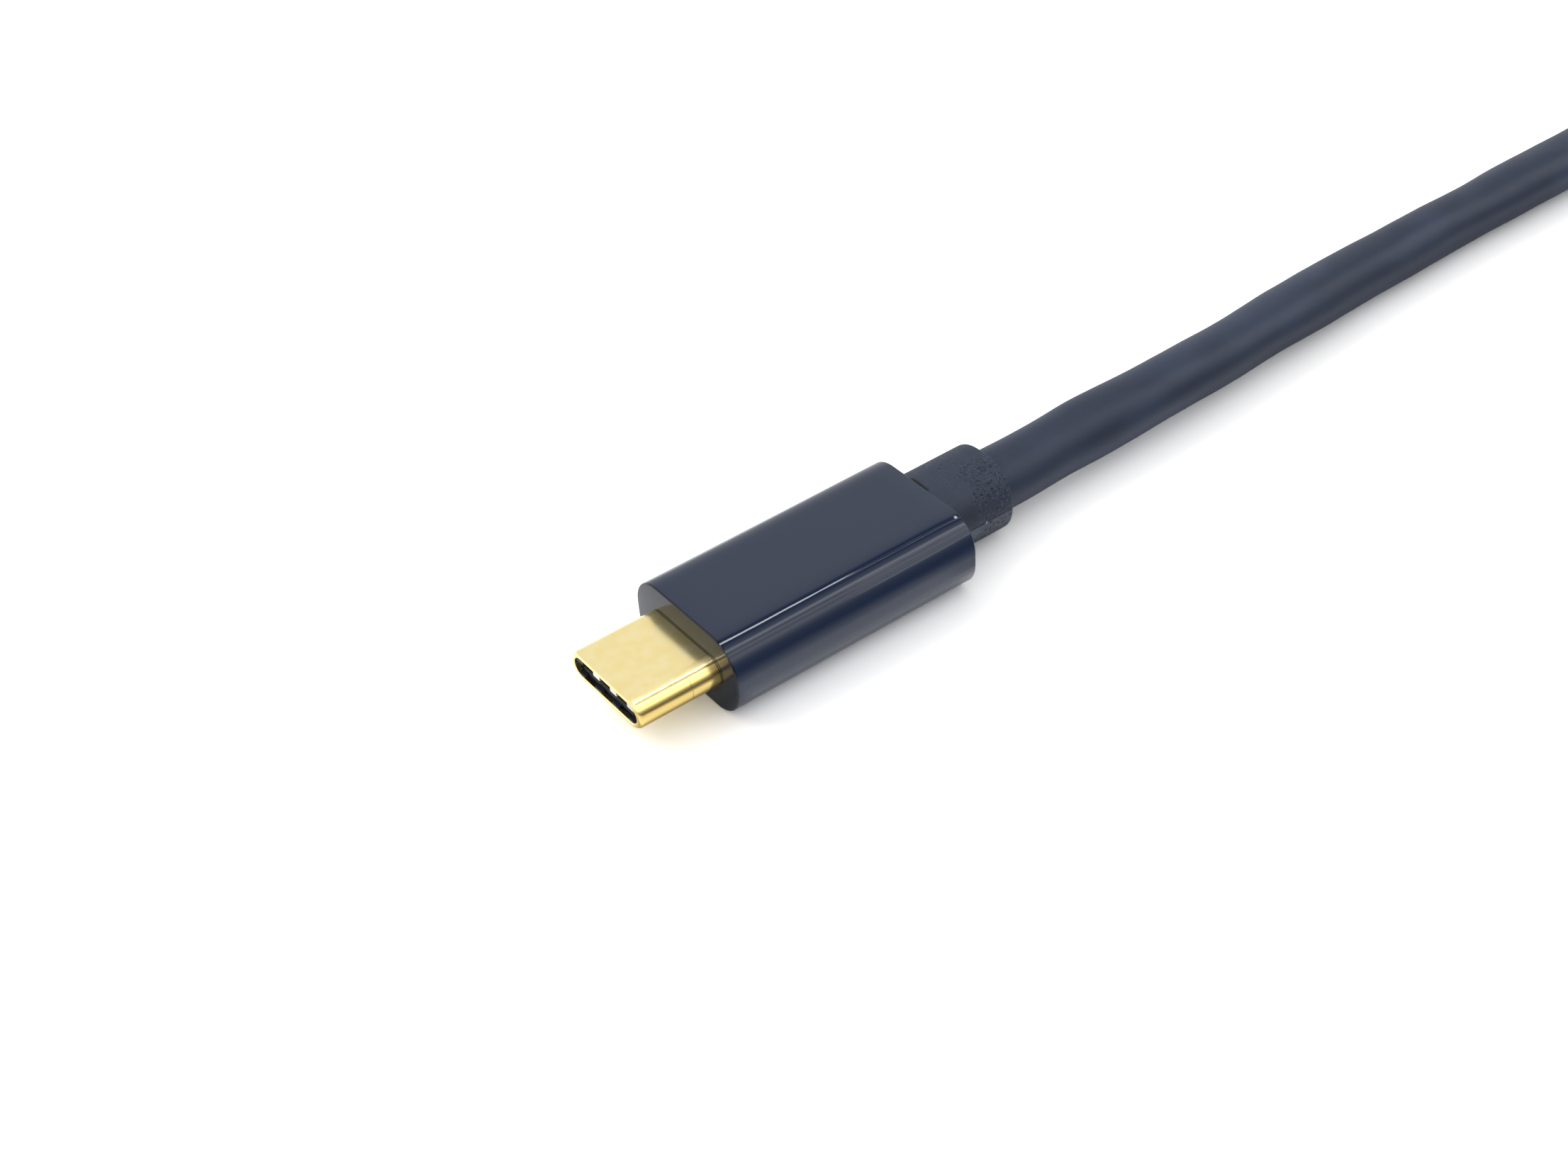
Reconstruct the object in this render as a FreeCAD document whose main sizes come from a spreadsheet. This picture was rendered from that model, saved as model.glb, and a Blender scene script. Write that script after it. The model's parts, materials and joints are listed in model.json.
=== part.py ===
import FreeCAD, Part
import math
import os

import Sketcher
from FreeCAD import Placement, Rotation, Vector

# A short adapter lead: a USB-C plug in a glossy sleeve, a stub of soft
# relief, a round cable, and a housing with an HDMI receptacle at the far end.
# Millimetres, +X from the plug's mouth along the lead, +Z up, the origin on
# the table under the middle of the plug. The plug's pieces are drawn from its
# mouth and its centre line, the housing's from the foot of its sleeve.

# Driving dimensions

SIZES = {
    # USB-C plug: the drawn shell
    "shell_width": 8.25,
    "shell_height": 2.40,
    "shell_wall": 0.25,
    "shell_exposed": 6.65,
    "shell_hidden": 3.55,
    "lip_turn_in": 0.45,
    "lip_thickness": 0.30,
    "lip_radius": 0.33,
    # contact housing inside the shell
    "comb_gap": 0.03,
    "comb_setback": 1.2,
    "comb_chamfer": 0.16,
    "slot_cheek": 0.425,
    "slot_roof": 0.225,
    "slot_floor": 2.8,
    "contact_count": 12,
    "contact_edge": 0.70,
    "contact_width": 0.25,
    "contact_thickness": 0.15,
    "contact_front": 1.1,
    "contact_lift": 0.145,
    "contact_tail": 1.3,
    "channel_width": 0.32,
    "channel_depth": 0.25,
    "channel_front": 0.9,
    # latch plate between the contact rows
    "latch_thickness": 0.20,
    "latch_arm": 0.35,
    "latch_gap": 0.02,
    "latch_front": 1.3,
    "latch_bar": 2.1,
    "hook_reach": 0.30,
    "hook_length": 0.8,
    # ground springs in the mouth
    "spring_thickness": 0.12,
    "spring_length": 2.75,
    "spring_tab_width": 0.75,
    "spring_tab_edge": 0.3,
    "spring_tab_count": 4,
    "spring_tab_drop": 0.37,
    "spring_tab_rise": 0.14,
    "spring_tab_front": 0.08,
    "spring_tab_gap": 0.02,
    # plug board and what is on it
    "card_thickness": 0.8,
    "card_neck_gap": 0.275,
    "card_step_gap": 0.4,
    "card_tail": 0.6,
    "chip_size": 3.0,
    "chip_height": 0.75,
    "chip_offset": 0.4,
    "capacitor_length": 1.0,
    "capacitor_width": 0.5,
    "capacitor_height": 0.5,
    "capacitor_pitch": 1.1,
    "capacitor_count": 5,
    # cans over the plug board
    "can_side_gap": 0.4,
    "can_roof_gap": 0.35,
    "can_corner_gap": 0.3,
    "can_wall": 0.2,
    # glossy sleeve: how far it stands out round the shell, and the upright
    # part of its sides between the round corners
    "shoulder_width": 1.675,
    "shoulder_height": 1.9,
    "sleeve_flat": 1.0,
    "sleeve_length": 20.7,
    "sleeve_wall": 0.9,
    "sleeve_front": 1.2,
    "sleeve_edge": 0.12,
    # soft relief behind the sleeve
    "relief_width": 6.7,
    "relief_flat": 0.46,
    "relief_length": 5.92,
    "relief_offset": 0.28,
    "relief_flange": 4.0,
    "relief_edge": 0.25,
    "jacket_grip": 4.9,
    # cable
    "cable_diameter": 4.7,
    "core_diameter": 3.3,
    "core_stub": 2.45,
    "crimp_wall": 0.25,
    "crimp_length": 2.0,
    "wire_diameter": 0.5,
    "wire_count": 4,
    "wire_pitch": 2.0,
    "core_wire_pitch": 0.68,
    "wire_pad": 1.6,
    "wire_bend": 0.6,
    "wire_room": 2.7,
    "far_wire_room": 4.45,
    "solder_room": 0.2,
    # HDMI housing
    "housing_start": 184.0,
    "housing_offset": -4.0,
    "housing_width": 21.0,
    "housing_height": 11.5,
    "housing_corner": 3.6,
    "housing_wall": 1.2,
    "housing_rear": 1.5,
    "front_plate": 1.5,
    "neck_width": 9.0,
    "neck_height": 8.0,
    "neck_flat": 0.8,
    "neck_edge": 0.7,
    "neck_length": 8.0,
    "neck_flange": 1.6,
    "flange_reach": 2.0,
    "flange_gap": 0.1,
    "neck_jacket": 2.0,
    "board_grip": 1.1,
    # HDMI receptacle
    "socket_width": 14.0,
    "socket_height": 4.55,
    "socket_side": 2.45,
    "socket_slope": 35.5,
    "socket_wall": 0.3,
    "socket_length": 11.5,
    "socket_rear": 2.5,
    "tongue_side_room": 1.7,
    "tongue_height": 1.2,
    "tongue_recess": 1.8,
    "pin_edge": 0.8,
    "pin_width": 0.30,
    "pin_thickness": 0.20,
    "pin_upper_count": 10,
    "pin_lower_count": 9,
    "pin_foot": 0.9,
    "window_width": 2.4,
    "window_length": 5.0,
    "window_front": 2.2,
    "finger_width": 1.7,
    "finger_press": 0.45,
    "finger_spacing": 3.5,
    # HDMI board and what is on it
    "board_thickness": 1.0,
    "board_side_gap": 0.5,
    "board_gap": 0.5,
    "feet_room": 4.5,
    "converter_size": 7.0,
    "converter_height": 0.9,
    "converter_setback": 6.0,
    "crystal_length": 3.2,
    "crystal_width": 2.5,
    "crystal_height": 0.8,
    "crystal_setback": 3.8,
    "crystal_y": 5.3,
    "part_length": 1.6,
    "part_width": 0.8,
    "part_height": 0.8,
    "part_pitch": 1.9,
    "part_count": 6,
    "part_setback": 3.6,
    "cover_inset": 0.6,
    "cover_setback": 3.0,
    "cover_length": 17.0,
    "cover_height": 2.6,
    "cover_wall": 0.2,
}

# The lead's route from inside the plug's relief to the far relief. The first
# and last points stand on the two pieces' centre lines; the others are where
# the lead lies, on the table along its middle.
ROUTE_MIDDLE = [
    (45.0, 0.28, 3.10),
    (67.0, 1.6, 2.70),
    (90.0, 2.6, 2.35),
    (113.0, 2.5, 2.35),
    (134.0, 0.2, 2.70),
    (153.5, -3.1, 4.55),
    (171.0, -4.0, 5.75),
]


class Size:
    """A length or count with its value now and the sheet formula that gives it."""

    def __init__(self, value, formula=None):
        self.value = float(value)
        self.formula = formula if formula else f"{self.value:.10g}"

    def joined(self, other, sign, value, swap=False):
        other = size(other)
        left, right = (other, self) if swap else (self, other)
        return Size(value(left.value, right.value),
                    f"({left.formula} {sign} {right.formula})")

    def __add__(self, other):
        return self.joined(other, "+", lambda a, b: a + b)

    def __radd__(self, other):
        return self.joined(other, "+", lambda a, b: a + b, swap=True)

    def __sub__(self, other):
        return self.joined(other, "-", lambda a, b: a - b)

    def __rsub__(self, other):
        return self.joined(other, "-", lambda a, b: a - b, swap=True)

    def __mul__(self, other):
        return self.joined(other, "*", lambda a, b: a * b)

    def __rmul__(self, other):
        return self.joined(other, "*", lambda a, b: a * b, swap=True)

    def __truediv__(self, other):
        return self.joined(other, "/", lambda a, b: a / b)

    def __neg__(self):
        return 0 - self


def size(value):
    return value if isinstance(value, Size) else Size(value)


def tangent(angle):
    return Size(math.tan(math.radians(angle.value)), f"tan({angle.formula})")


class Sizes:
    """The spreadsheet of driving dimensions, one cell and alias for each."""

    def __init__(self, doc, values):
        sheet = doc.addObject("Spreadsheet::Sheet", "Sizes")
        for row, (name, value) in enumerate(values.items(), start=1):
            sheet.set(f"A{row}", name)
            sheet.set(f"B{row}", f"{value:g}")
            sheet.setAlias(f"B{row}", name)
        doc.recompute()
        for name in values:
            setattr(self, name, Size(sheet.get(name), f"Sizes.{name}"))


doc = FreeCAD.newDocument("adapter_lead")
s = Sizes(doc, SIZES)

# Sizes that follow from the driving ones

sleeve_width = s.shell_width + 2 * s.shoulder_width
sleeve_height = s.shell_height + 2 * s.shoulder_height
sleeve_corner = (sleeve_height - s.sleeve_flat) / 2
plug_length = s.shell_exposed + s.sleeve_length + s.relief_length
mouth_x = -plug_length / 2
plug_axis = sleeve_height / 2
sleeve_end = s.shell_exposed + s.sleeve_length
cavity_width = sleeve_width - 2 * s.sleeve_wall
cavity_height = sleeve_height - 2 * s.sleeve_wall
cavity_corner = sleeve_corner - s.sleeve_wall
cavity_start = s.shell_exposed + s.sleeve_front
relief_start = sleeve_end - s.relief_flange
jacket_start = plug_length - s.jacket_grip
core_start = relief_start - s.core_stub
shell_length = s.shell_exposed + s.shell_hidden
shell_inner_width = s.shell_width - 2 * s.shell_wall
shell_inner_height = s.shell_height - 2 * s.shell_wall
lip_width = s.shell_width - 2 * s.lip_turn_in
lip_height = s.shell_height - 2 * s.lip_turn_in
comb_front = s.lip_thickness + s.comb_gap + s.spring_thickness
comb_rear = shell_length - s.comb_setback
slot_width = shell_inner_width - 2 * s.slot_cheek
slot_height = shell_inner_height - 2 * (s.channel_depth + s.slot_roof)
slot_depth = comb_rear - s.slot_floor
contact_pitch = (slot_width - 2 * s.contact_edge) / (s.contact_count - 1)
contact_reach = slot_height / 2 - s.contact_lift
spring_tab_pitch = ((lip_width - 2 * s.spring_tab_edge - s.spring_tab_width)
                    / (s.spring_tab_count - 1))
card_neck_width = shell_inner_width - 2 * s.card_neck_gap
card_end = core_start - s.wire_room
can_end = card_end - s.card_tail
can_length = can_end - shell_length
can_width = cavity_width - 2 * s.can_side_gap
can_height = cavity_height - 2 * s.can_roof_gap
can_corner = cavity_corner - s.can_corner_gap
card_width = can_width - 2 * s.can_wall
chip_x = shell_length + can_length / 2 + s.chip_offset
pad_room = s.wire_diameter + s.solder_room

housing_axis = s.housing_height / 2
housing_foot = mouth_x + s.housing_start
housing_inner_width = s.housing_width - 2 * s.housing_wall
housing_inner_height = s.housing_height - 2 * s.housing_wall
housing_inner_corner = s.housing_corner - s.housing_wall
neck_corner = (s.neck_height - s.neck_flat) / 2
potting_start = s.housing_rear + s.neck_flange
jacket_end = potting_start - s.neck_jacket
far_core_end = potting_start + s.core_stub
board_start = far_core_end + s.far_wire_room
cover_x = board_start + s.cover_setback
cover_end = cover_x + s.cover_length
socket_x = cover_end + s.feet_room
housing_length = socket_x + s.socket_length
plate_x = housing_length - s.front_plate
board_end = plate_x - s.board_gap
board_width = housing_inner_width - 2 * s.board_side_gap
board_top = -s.socket_height / 2 - s.socket_wall
tongue_width = s.socket_width - 2 * s.tongue_side_room
pin_pitch = (tongue_width - 2 * s.pin_edge) / (s.pin_upper_count - 1)


# Helpers that draw and build

def bind(item, path, value):
    value = size(value)
    item.setExpression(path, value.formula)


def body(label, x=mouth_x, y=0.0, z=plug_axis):
    item = doc.addObject("PartDesign::Body", label)
    item.Label = label
    item.AllowCompound = True
    for axis, value in zip("xyz", (x, y, z)):
        bind(item, f"Placement.Base.{axis}", value)
    return item


def origin(item, role):
    return next(f for f in item.Origin.OriginFeatures if f.Role == role)


def sketch(item, role, place, draw):
    """A sketch on one of the body's own planes, moved in it and along its normal."""
    profile = item.newObject("Sketcher::SketchObject", item.Label + "_profile")
    profile.AttachmentSupport = [(origin(item, role), "")]
    profile.MapMode = "FlatFace"
    place = [size(p) for p in place]
    profile.AttachmentOffset = Placement(Vector(*[p.value for p in place]), Rotation())
    for axis, value in zip("xyz", place):
        bind(profile, f"AttachmentOffset.Base.{axis}", value)
    draw(profile)
    return profile


def constrain(profile, kind, *args):
    """A constraint; a Size at its end is bound to the sheet."""
    value = args[-1] if isinstance(args[-1], Size) else None
    plain = args[:-1] + (value.value,) if value else args
    index = profile.addConstraint(Sketcher.Constraint(kind, *plain))
    if value:
        bind(profile, f"Constraints[{index}]", value)


def pad(item, role, place, draw, length):
    feature = item.newObject("PartDesign::Pad", item.Label + "_pad")
    feature.Profile = sketch(item, role, place, draw)
    feature.Length = size(length).value
    bind(feature, "Length", length)
    item.Tip = feature
    return feature


def cut(item, role, place, draw, length):
    """A pocket that runs from its sketch along the plane's normal."""
    feature = item.newObject("PartDesign::Pocket", item.Label + "_cut")
    feature.Profile = sketch(item, role, place, draw)
    feature.Reversed = True
    feature.Length = size(length).value
    bind(feature, "Length", length)
    item.Tip = feature
    return feature


def row(item, feature, axis, pitch, count):
    """Repeats a feature along one of the body's axes."""
    pattern = item.newObject("PartDesign::LinearPattern", item.Label + "_row")
    pattern.Originals = [feature]
    pattern.Direction = (origin(item, axis), [""])
    bind(pattern, "Length", pitch * (count - 1))
    pattern.Occurrences = int(count.value)
    bind(pattern, "Occurrences", count)
    item.Tip = pattern
    return pattern


def finish_edges(item, kind, wanted, amount):
    """A Fillet or Chamfer on those edges of the body that wanted() picks."""
    doc.recompute()
    base = item.Tip
    names = [f"Edge{i}" for i, edge in enumerate(base.Shape.Edges, 1) if wanted(edge)]
    feature = item.newObject("PartDesign::" + kind, item.Label + "_" + kind.lower())
    feature.Base = (base, names)
    bind(feature, "Radius" if kind == "Fillet" else "Size", amount)
    item.Tip = feature
    return feature


def at_x(x, height=None):
    """Picks edges in the plane X = x, those within a height if it is given."""
    def wanted(edge):
        box = edge.BoundBox
        flat = abs(box.XMin - x.value) < 1e-4 and abs(box.XMax - x.value) < 1e-4
        return flat and (height is None or
                         max(-box.ZMin, box.ZMax) < height.value / 2 + 1e-4)
    return wanted


# Profiles, each centred on its sketch's origin

def rectangle(width, height):
    def draw(profile):
        w, h = width.value / 2, height.value / 2
        corners = [Vector(-w, -h, 0), Vector(w, -h, 0), Vector(w, h, 0), Vector(-w, h, 0)]
        sides = [profile.addGeometry(Part.LineSegment(corners[i], corners[(i + 1) % 4]))
                 for i in range(4)]
        for i in range(4):
            constrain(profile, "Coincident", sides[i], 2, sides[(i + 1) % 4], 1)
        for i in (0, 2):
            constrain(profile, "Horizontal", sides[i])
            constrain(profile, "Vertical", sides[i + 1])
        constrain(profile, "Symmetric", sides[0], 1, sides[1], 2, -1, 1)
        constrain(profile, "DistanceX", sides[0], 1, sides[0], 2, width)
        constrain(profile, "DistanceY", sides[1], 1, sides[1], 2, height)
    return draw


def around(outer, inner):
    """What lies inside one profile and outside another."""
    def draw(profile):
        outer(profile)
        inner(profile)
    return draw


def circle(diameter):
    def draw(profile):
        ring = profile.addGeometry(Part.Circle(Vector(0, 0, 0), Vector(0, 0, 1),
                                               diameter.value / 2))
        constrain(profile, "Coincident", ring, 3, -1, 1)
        constrain(profile, "Diameter", ring, diameter)
    return draw


def arc(centre, radius, start):
    ring = Part.Circle(Vector(centre[0], centre[1], 0), Vector(0, 0, 1), radius)
    return Part.ArcOfCircle(ring, math.radians(start), math.radians(start + 90))


def rounded(width, height, corner):
    """A rectangle with round corners: four arcs joined by four tangent sides."""
    def draw(profile):
        w, h, r = width.value / 2, height.value / 2, corner.value
        arcs, sides = [], []
        for start, sx, sy in ((0, 1, 1), (90, -1, 1), (180, -1, -1), (270, 1, -1)):
            centre = (sx * (w - r), sy * (h - r))
            arcs.append(profile.addGeometry(arc(centre, r, start)))
        ends = [((w - r, h), (-w + r, h)), ((-w, h - r), (-w, -h + r)),
                ((-w + r, -h), (w - r, -h)), ((w, -h + r), (w, h - r))]
        for a, b in ends:
            sides.append(profile.addGeometry(Part.LineSegment(Vector(*a, 0), Vector(*b, 0))))
        for i in range(4):
            constrain(profile, "Tangent", arcs[i], 2, sides[i], 1)
            constrain(profile, "Tangent", sides[i], 2, arcs[(i + 1) % 4], 1)
        for i in (1, 2, 3):
            constrain(profile, "Equal", arcs[0], arcs[i])
        constrain(profile, "Horizontal", sides[0])
        constrain(profile, "Vertical", sides[1])
        constrain(profile, "Symmetric", arcs[0], 3, arcs[2], 3, -1, 1)
        constrain(profile, "Radius", arcs[0], corner)
        constrain(profile, "DistanceX", arcs[1], 3, arcs[0], 3, width - 2 * corner)
        constrain(profile, "DistanceY", arcs[3], 3, arcs[0], 3, height - 2 * corner)
    return draw


def stadium(width, height):
    """Two half circles joined by flats, as the plug's own section."""
    def draw(profile):
        r = height.value / 2
        w = width.value / 2 - r
        z = Vector(0, 0, 1)
        right = profile.addGeometry(Part.ArcOfCircle(
            Part.Circle(Vector(w, 0, 0), z, r), -math.pi / 2, math.pi / 2))
        left = profile.addGeometry(Part.ArcOfCircle(
            Part.Circle(Vector(-w, 0, 0), z, r), math.pi / 2, 3 * math.pi / 2))
        top = profile.addGeometry(Part.LineSegment(Vector(w, r, 0), Vector(-w, r, 0)))
        bottom = profile.addGeometry(Part.LineSegment(Vector(-w, -r, 0), Vector(w, -r, 0)))
        constrain(profile, "Tangent", right, 2, top, 1)
        constrain(profile, "Tangent", top, 2, left, 1)
        constrain(profile, "Tangent", left, 2, bottom, 1)
        constrain(profile, "Tangent", bottom, 2, right, 1)
        constrain(profile, "Horizontal", top)
        constrain(profile, "Equal", left, right)
        constrain(profile, "Symmetric", left, 3, right, 3, -1, 1)
        constrain(profile, "Radius", right, height / 2)
        constrain(profile, "DistanceX", left, 3, right, 3, width - height)
    return draw


def polygon(points):
    """Straight sides through points that are each bound to the sheet."""
    points = [(size(x), size(y)) for x, y in points]

    def draw(profile):
        spots = [Vector(x.value, y.value, 0) for x, y in points]
        count = len(spots)
        sides = [profile.addGeometry(Part.LineSegment(spots[i], spots[(i + 1) % count]))
                 for i in range(count)]
        for i in range(count):
            constrain(profile, "Coincident", sides[i], 2, sides[(i + 1) % count], 1)
        for side, (x, y) in zip(sides, points):
            constrain(profile, "DistanceX", -1, 1, side, 1, x)
            constrain(profile, "DistanceY", -1, 1, side, 1, y)
    return draw


def cut_from(label, base, tool):
    """A piece moulded round another: the other's solid is taken out of it."""
    result = doc.addObject("Part::Cut", label)
    result.Label = label
    result.Base = base
    result.Tool = tool
    return result


def tube(points, diameter, share=0.45, bend=None):
    """A round solid along straight runs joined by tangent arcs.

    Each arc is as large as its runs allow, or has the bend given.
    """
    spots = [Vector(*p) for p in points]
    edges, radii, start = [], [], spots[0]
    for before, corner, after in zip(spots, spots[1:], spots[2:]):
        coming, leaving = corner - before, after - corner
        half_turn = coming.getAngle(leaving) / 2
        reach = bend * math.tan(half_turn) if bend else share * min(coming.Length, leaving.Length)
        radii.append(reach / math.tan(half_turn))
        coming.normalize()
        leaving.normalize()
        enter, leave = corner - coming * reach, corner + leaving * reach
        inward = leaving - coming
        inward.normalize()
        middle = corner + inward * (radii[-1] / math.cos(half_turn) - radii[-1])
        edges.append(Part.LineSegment(start, enter).toShape())
        edges.append(Part.Arc(enter, middle, leave).toShape())
        start = leave
    edges.append(Part.LineSegment(start, spots[-1]).toShape())
    path = Part.Wire(edges)
    disc = Part.Wire([Part.Circle(spots[0], spots[1] - spots[0], diameter / 2).toShape()])
    solid = path.makePipeShell([disc], True, False)
    expected = math.pi * diameter ** 2 / 4 * path.Length
    if abs(solid.Volume / expected - 1) > 0.01:
        raise ValueError(f"tube volume {solid.Volume:.3f} is not {expected:.3f}")
    return solid, path.Length, radii


def shaped(label, shape):
    item = doc.addObject("Part::Feature", label)
    item.Label = label
    item.Shape = shape
    return item


# USB-C plug

def usb_shell():
    """Deep-drawn shell, seamless, its front edge turned in to a round lip."""
    item = body("usb_shell")
    pad(item, "YZ_Plane", (0, 0, 0), stadium(s.shell_width, s.shell_height), shell_length)
    finish_edges(item, "Fillet", at_x(size(0)), s.lip_radius)
    cut(item, "YZ_Plane", (0, 0, 0), stadium(lip_width, lip_height), shell_length)
    cut(item, "YZ_Plane", (0, 0, s.lip_thickness),
        stadium(shell_inner_width, shell_inner_height), shell_length)
    return item


def usb_insulator(latch):
    """Black comb that holds both contact rows round the slot for the tongue."""
    blank = body("usb_insulator_blank")
    depth = comb_rear - comb_front
    pad(blank, "YZ_Plane", (0, 0, comb_front),
        stadium(shell_inner_width, shell_inner_height), depth)
    cut(blank, "YZ_Plane", (0, 0, comb_front),
        rectangle(slot_width, slot_height), slot_depth - comb_front)
    finish_edges(blank, "Chamfer", at_x(comb_front, height=slot_height),
                 s.comb_chamfer)
    first = -contact_pitch * (s.contact_count - 1) / 2
    for side in (1, -1):
        middle = side * (slot_height + s.channel_depth) / 2
        channel = cut(blank, "YZ_Plane", (first, middle, s.channel_front),
                      rectangle(s.channel_width, s.channel_depth), depth)
        row(blank, channel, "Y_Axis", contact_pitch, s.contact_count)
        recess = side * (shell_inner_height - s.spring_thickness) / 2
        cut(blank, "YZ_Plane", (0, recess, comb_front),
            rectangle(shell_inner_width, s.spring_thickness),
            s.spring_length - s.spring_thickness)
    arm_side = slot_width / 2 + s.latch_arm
    for side in (1, -1):
        cut(blank, "YZ_Plane", (side * arm_side, 0, s.latch_front - s.latch_gap),
            rectangle(2 * s.latch_arm, s.latch_thickness + 2 * s.latch_gap), depth)
    return cut_from("usb_insulator", blank, latch)


def usb_contacts(label, side):
    """Twelve spring contacts, each a strip with a raised touching point."""
    item = body(label)
    top = side * (slot_height / 2 + s.channel_depth)
    under = top - side * s.contact_thickness
    touch = side * contact_reach
    tail = side * s.card_thickness / 2
    bend = side * s.contact_thickness
    x = s.contact_front
    end = comb_rear
    outline = [(x, under + bend / 4), (x + 0.4, touch + bend / 3), (x + 0.8, touch),
               (x + 1.2, touch + bend / 3), (x + 2.3, under), (end - 0.1, under),
               (end + 0.15, tail), (end + s.contact_tail, tail),
               (end + s.contact_tail, tail + bend), (end + 0.24, tail + bend),
               (end - 0.01, top), (x + 2.2, top), (x + 1.15, touch + bend * 4 / 3),
               (x + 0.8, touch + bend), (x + 0.45, touch + bend * 4 / 3), (x + 0.12, top)]
    first = contact_pitch * (s.contact_count - 1) / 2 - s.contact_width / 2
    strip = pad(item, "XZ_Plane", (0, 0, first), polygon(outline), s.contact_width)
    row(item, strip, "Y_Axis", contact_pitch, s.contact_count)
    return item


def usb_latch_plate():
    """Ground plate between the rows, with a hooked arm down each side."""
    item = body("usb_latch_plate")
    inner = slot_width / 2 + s.latch_gap
    outer = inner + s.latch_arm
    bar = comb_rear - s.latch_bar
    hook = slot_width / 2 - s.hook_reach
    front = s.latch_front
    half = [(front, inner), (front + 0.25, hook), (front + s.hook_length, hook),
            (front + s.hook_length + 0.5, inner), (bar, inner)]
    outline = half + [(x, -y) for x, y in reversed(half)]
    outline += [(front, -outer), (comb_rear, -outer), (comb_rear, outer), (front, outer)]
    pad(item, "XY_Plane", (0, 0, -s.latch_thickness / 2), polygon(outline),
        s.latch_thickness)
    return item


def usb_emi_spring(label, side, drop):
    """Ground spring over the comb, its four tabs folded forward in under the lip."""
    item = body(label)
    front = comb_front - s.spring_thickness
    pad(item, "YZ_Plane", (0, 0, front), stadium(shell_inner_width, shell_inner_height),
        s.spring_length)
    cut(item, "YZ_Plane", (0, -side * s.spring_thickness / 2, front),
        rectangle(s.shell_width, shell_inner_height - s.spring_thickness), s.spring_length)
    top = shell_inner_height / 2 - s.spring_thickness
    first = -spring_tab_pitch * (s.spring_tab_count - 1) / 2
    reach = top - (lip_height / 2 - drop)
    tab = pad(item, "YZ_Plane", (first, side * (top - reach / 2), front),
              rectangle(s.spring_tab_width, reach), s.spring_thickness)
    row(item, tab, "Y_Axis", spring_tab_pitch, s.spring_tab_count)
    under = lip_height / 2 - (drop + s.spring_tab_gap) / 2
    fold = pad(item, "YZ_Plane", (first, side * under, s.spring_tab_front),
               rectangle(s.spring_tab_width, drop - s.spring_tab_gap),
               front - s.spring_tab_front)
    row(item, fold, "Y_Axis", spring_tab_pitch, s.spring_tab_count)
    gap = 2 * s.spring_tab_gap
    cut(item, "YZ_Plane", (0, 0, s.spring_tab_front),
        around(rectangle(s.shell_width, s.shell_height),
               stadium(lip_width - gap, lip_height - gap)), front - s.spring_tab_front)
    return item


def usb_paddle_card():
    item = body("usb_paddle_card")
    step = shell_length + s.can_wall + s.card_step_gap
    neck, wide = card_neck_width / 2, card_width / 2
    outline = [(comb_rear, -neck), (step, -neck), (step, -wide), (card_end, -wide),
               (card_end, wide), (step, wide), (step, neck), (comb_rear, neck)]
    pad(item, "XY_Plane", (0, 0, -s.card_thickness / 2), polygon(outline), s.card_thickness)
    return item


def usb_card_chip():
    item = body("usb_card_chip")
    pad(item, "XY_Plane", (chip_x, 0, s.card_thickness / 2),
        rectangle(s.chip_size, s.chip_size), s.chip_height)
    return item


def usb_card_capacitors():
    """A row of small capacitors under the card."""
    item = body("usb_card_capacitors")
    first = -s.capacitor_pitch * (s.capacitor_count - 1) / 2
    block = pad(item, "XY_Plane",
                (chip_x, first, -s.card_thickness / 2 - s.capacitor_height),
                rectangle(s.capacitor_length, s.capacitor_width), s.capacitor_height)
    row(item, block, "Y_Axis", s.capacitor_pitch, s.capacitor_count)
    return item


def usb_can(label, side):
    """Half of the drawn can round the card, with a front wall on the shell."""
    item = body(label)
    pad(item, "YZ_Plane", (0, 0, shell_length),
        rounded(can_width, can_height, can_corner), can_length)
    cut(item, "YZ_Plane", (0, 0, shell_length + s.can_wall),
        rounded(can_width - 2 * s.can_wall, can_height - 2 * s.can_wall,
                can_corner - s.can_wall), can_length)
    cut(item, "YZ_Plane", (0, 0, shell_length),
        stadium(shell_inner_width, shell_inner_height), s.can_wall)
    cut(item, "YZ_Plane", (0, -side * can_height / 2, shell_length),
        rectangle(sleeve_width, can_height), can_length)
    return item


def crimp(label, start, **place):
    """Ring pressed over the cable's shielded core."""
    item = body(label, **place)
    outer = s.core_diameter + 2 * s.crimp_wall
    pad(item, "YZ_Plane", (0, 0, start), circle(outer), s.crimp_length)
    cut(item, "YZ_Plane", (0, 0, start), circle(s.core_diameter), s.crimp_length)
    return item


def usb_inner_mould(wires):
    """Plain inner moulding that fills the sleeve round the cans and the core."""
    blank = body("usb_inner_mould_blank")
    pad(blank, "YZ_Plane", (0, 0, cavity_start),
        rounded(cavity_width, cavity_height, cavity_corner), relief_start - cavity_start)
    cut(blank, "YZ_Plane", (0, 0, cavity_start),
        stadium(s.shell_width, s.shell_height), shell_length - cavity_start)
    cut(blank, "YZ_Plane", (0, 0, shell_length),
        rounded(can_width, can_height, can_corner), can_length)
    cut(blank, "YZ_Plane", (0, 0, core_start), circle(s.core_diameter), s.core_stub)
    cut(blank, "YZ_Plane", (0, 0, crimp_x), circle(s.core_diameter + 2 * s.crimp_wall),
        s.crimp_length)
    cut(blank, "YZ_Plane", (0, 0, can_end),
        rectangle(card_width, s.card_thickness + 2 * pad_room), card_end - can_end)
    return cut_from("usb_inner_mould", blank, wires)


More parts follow.
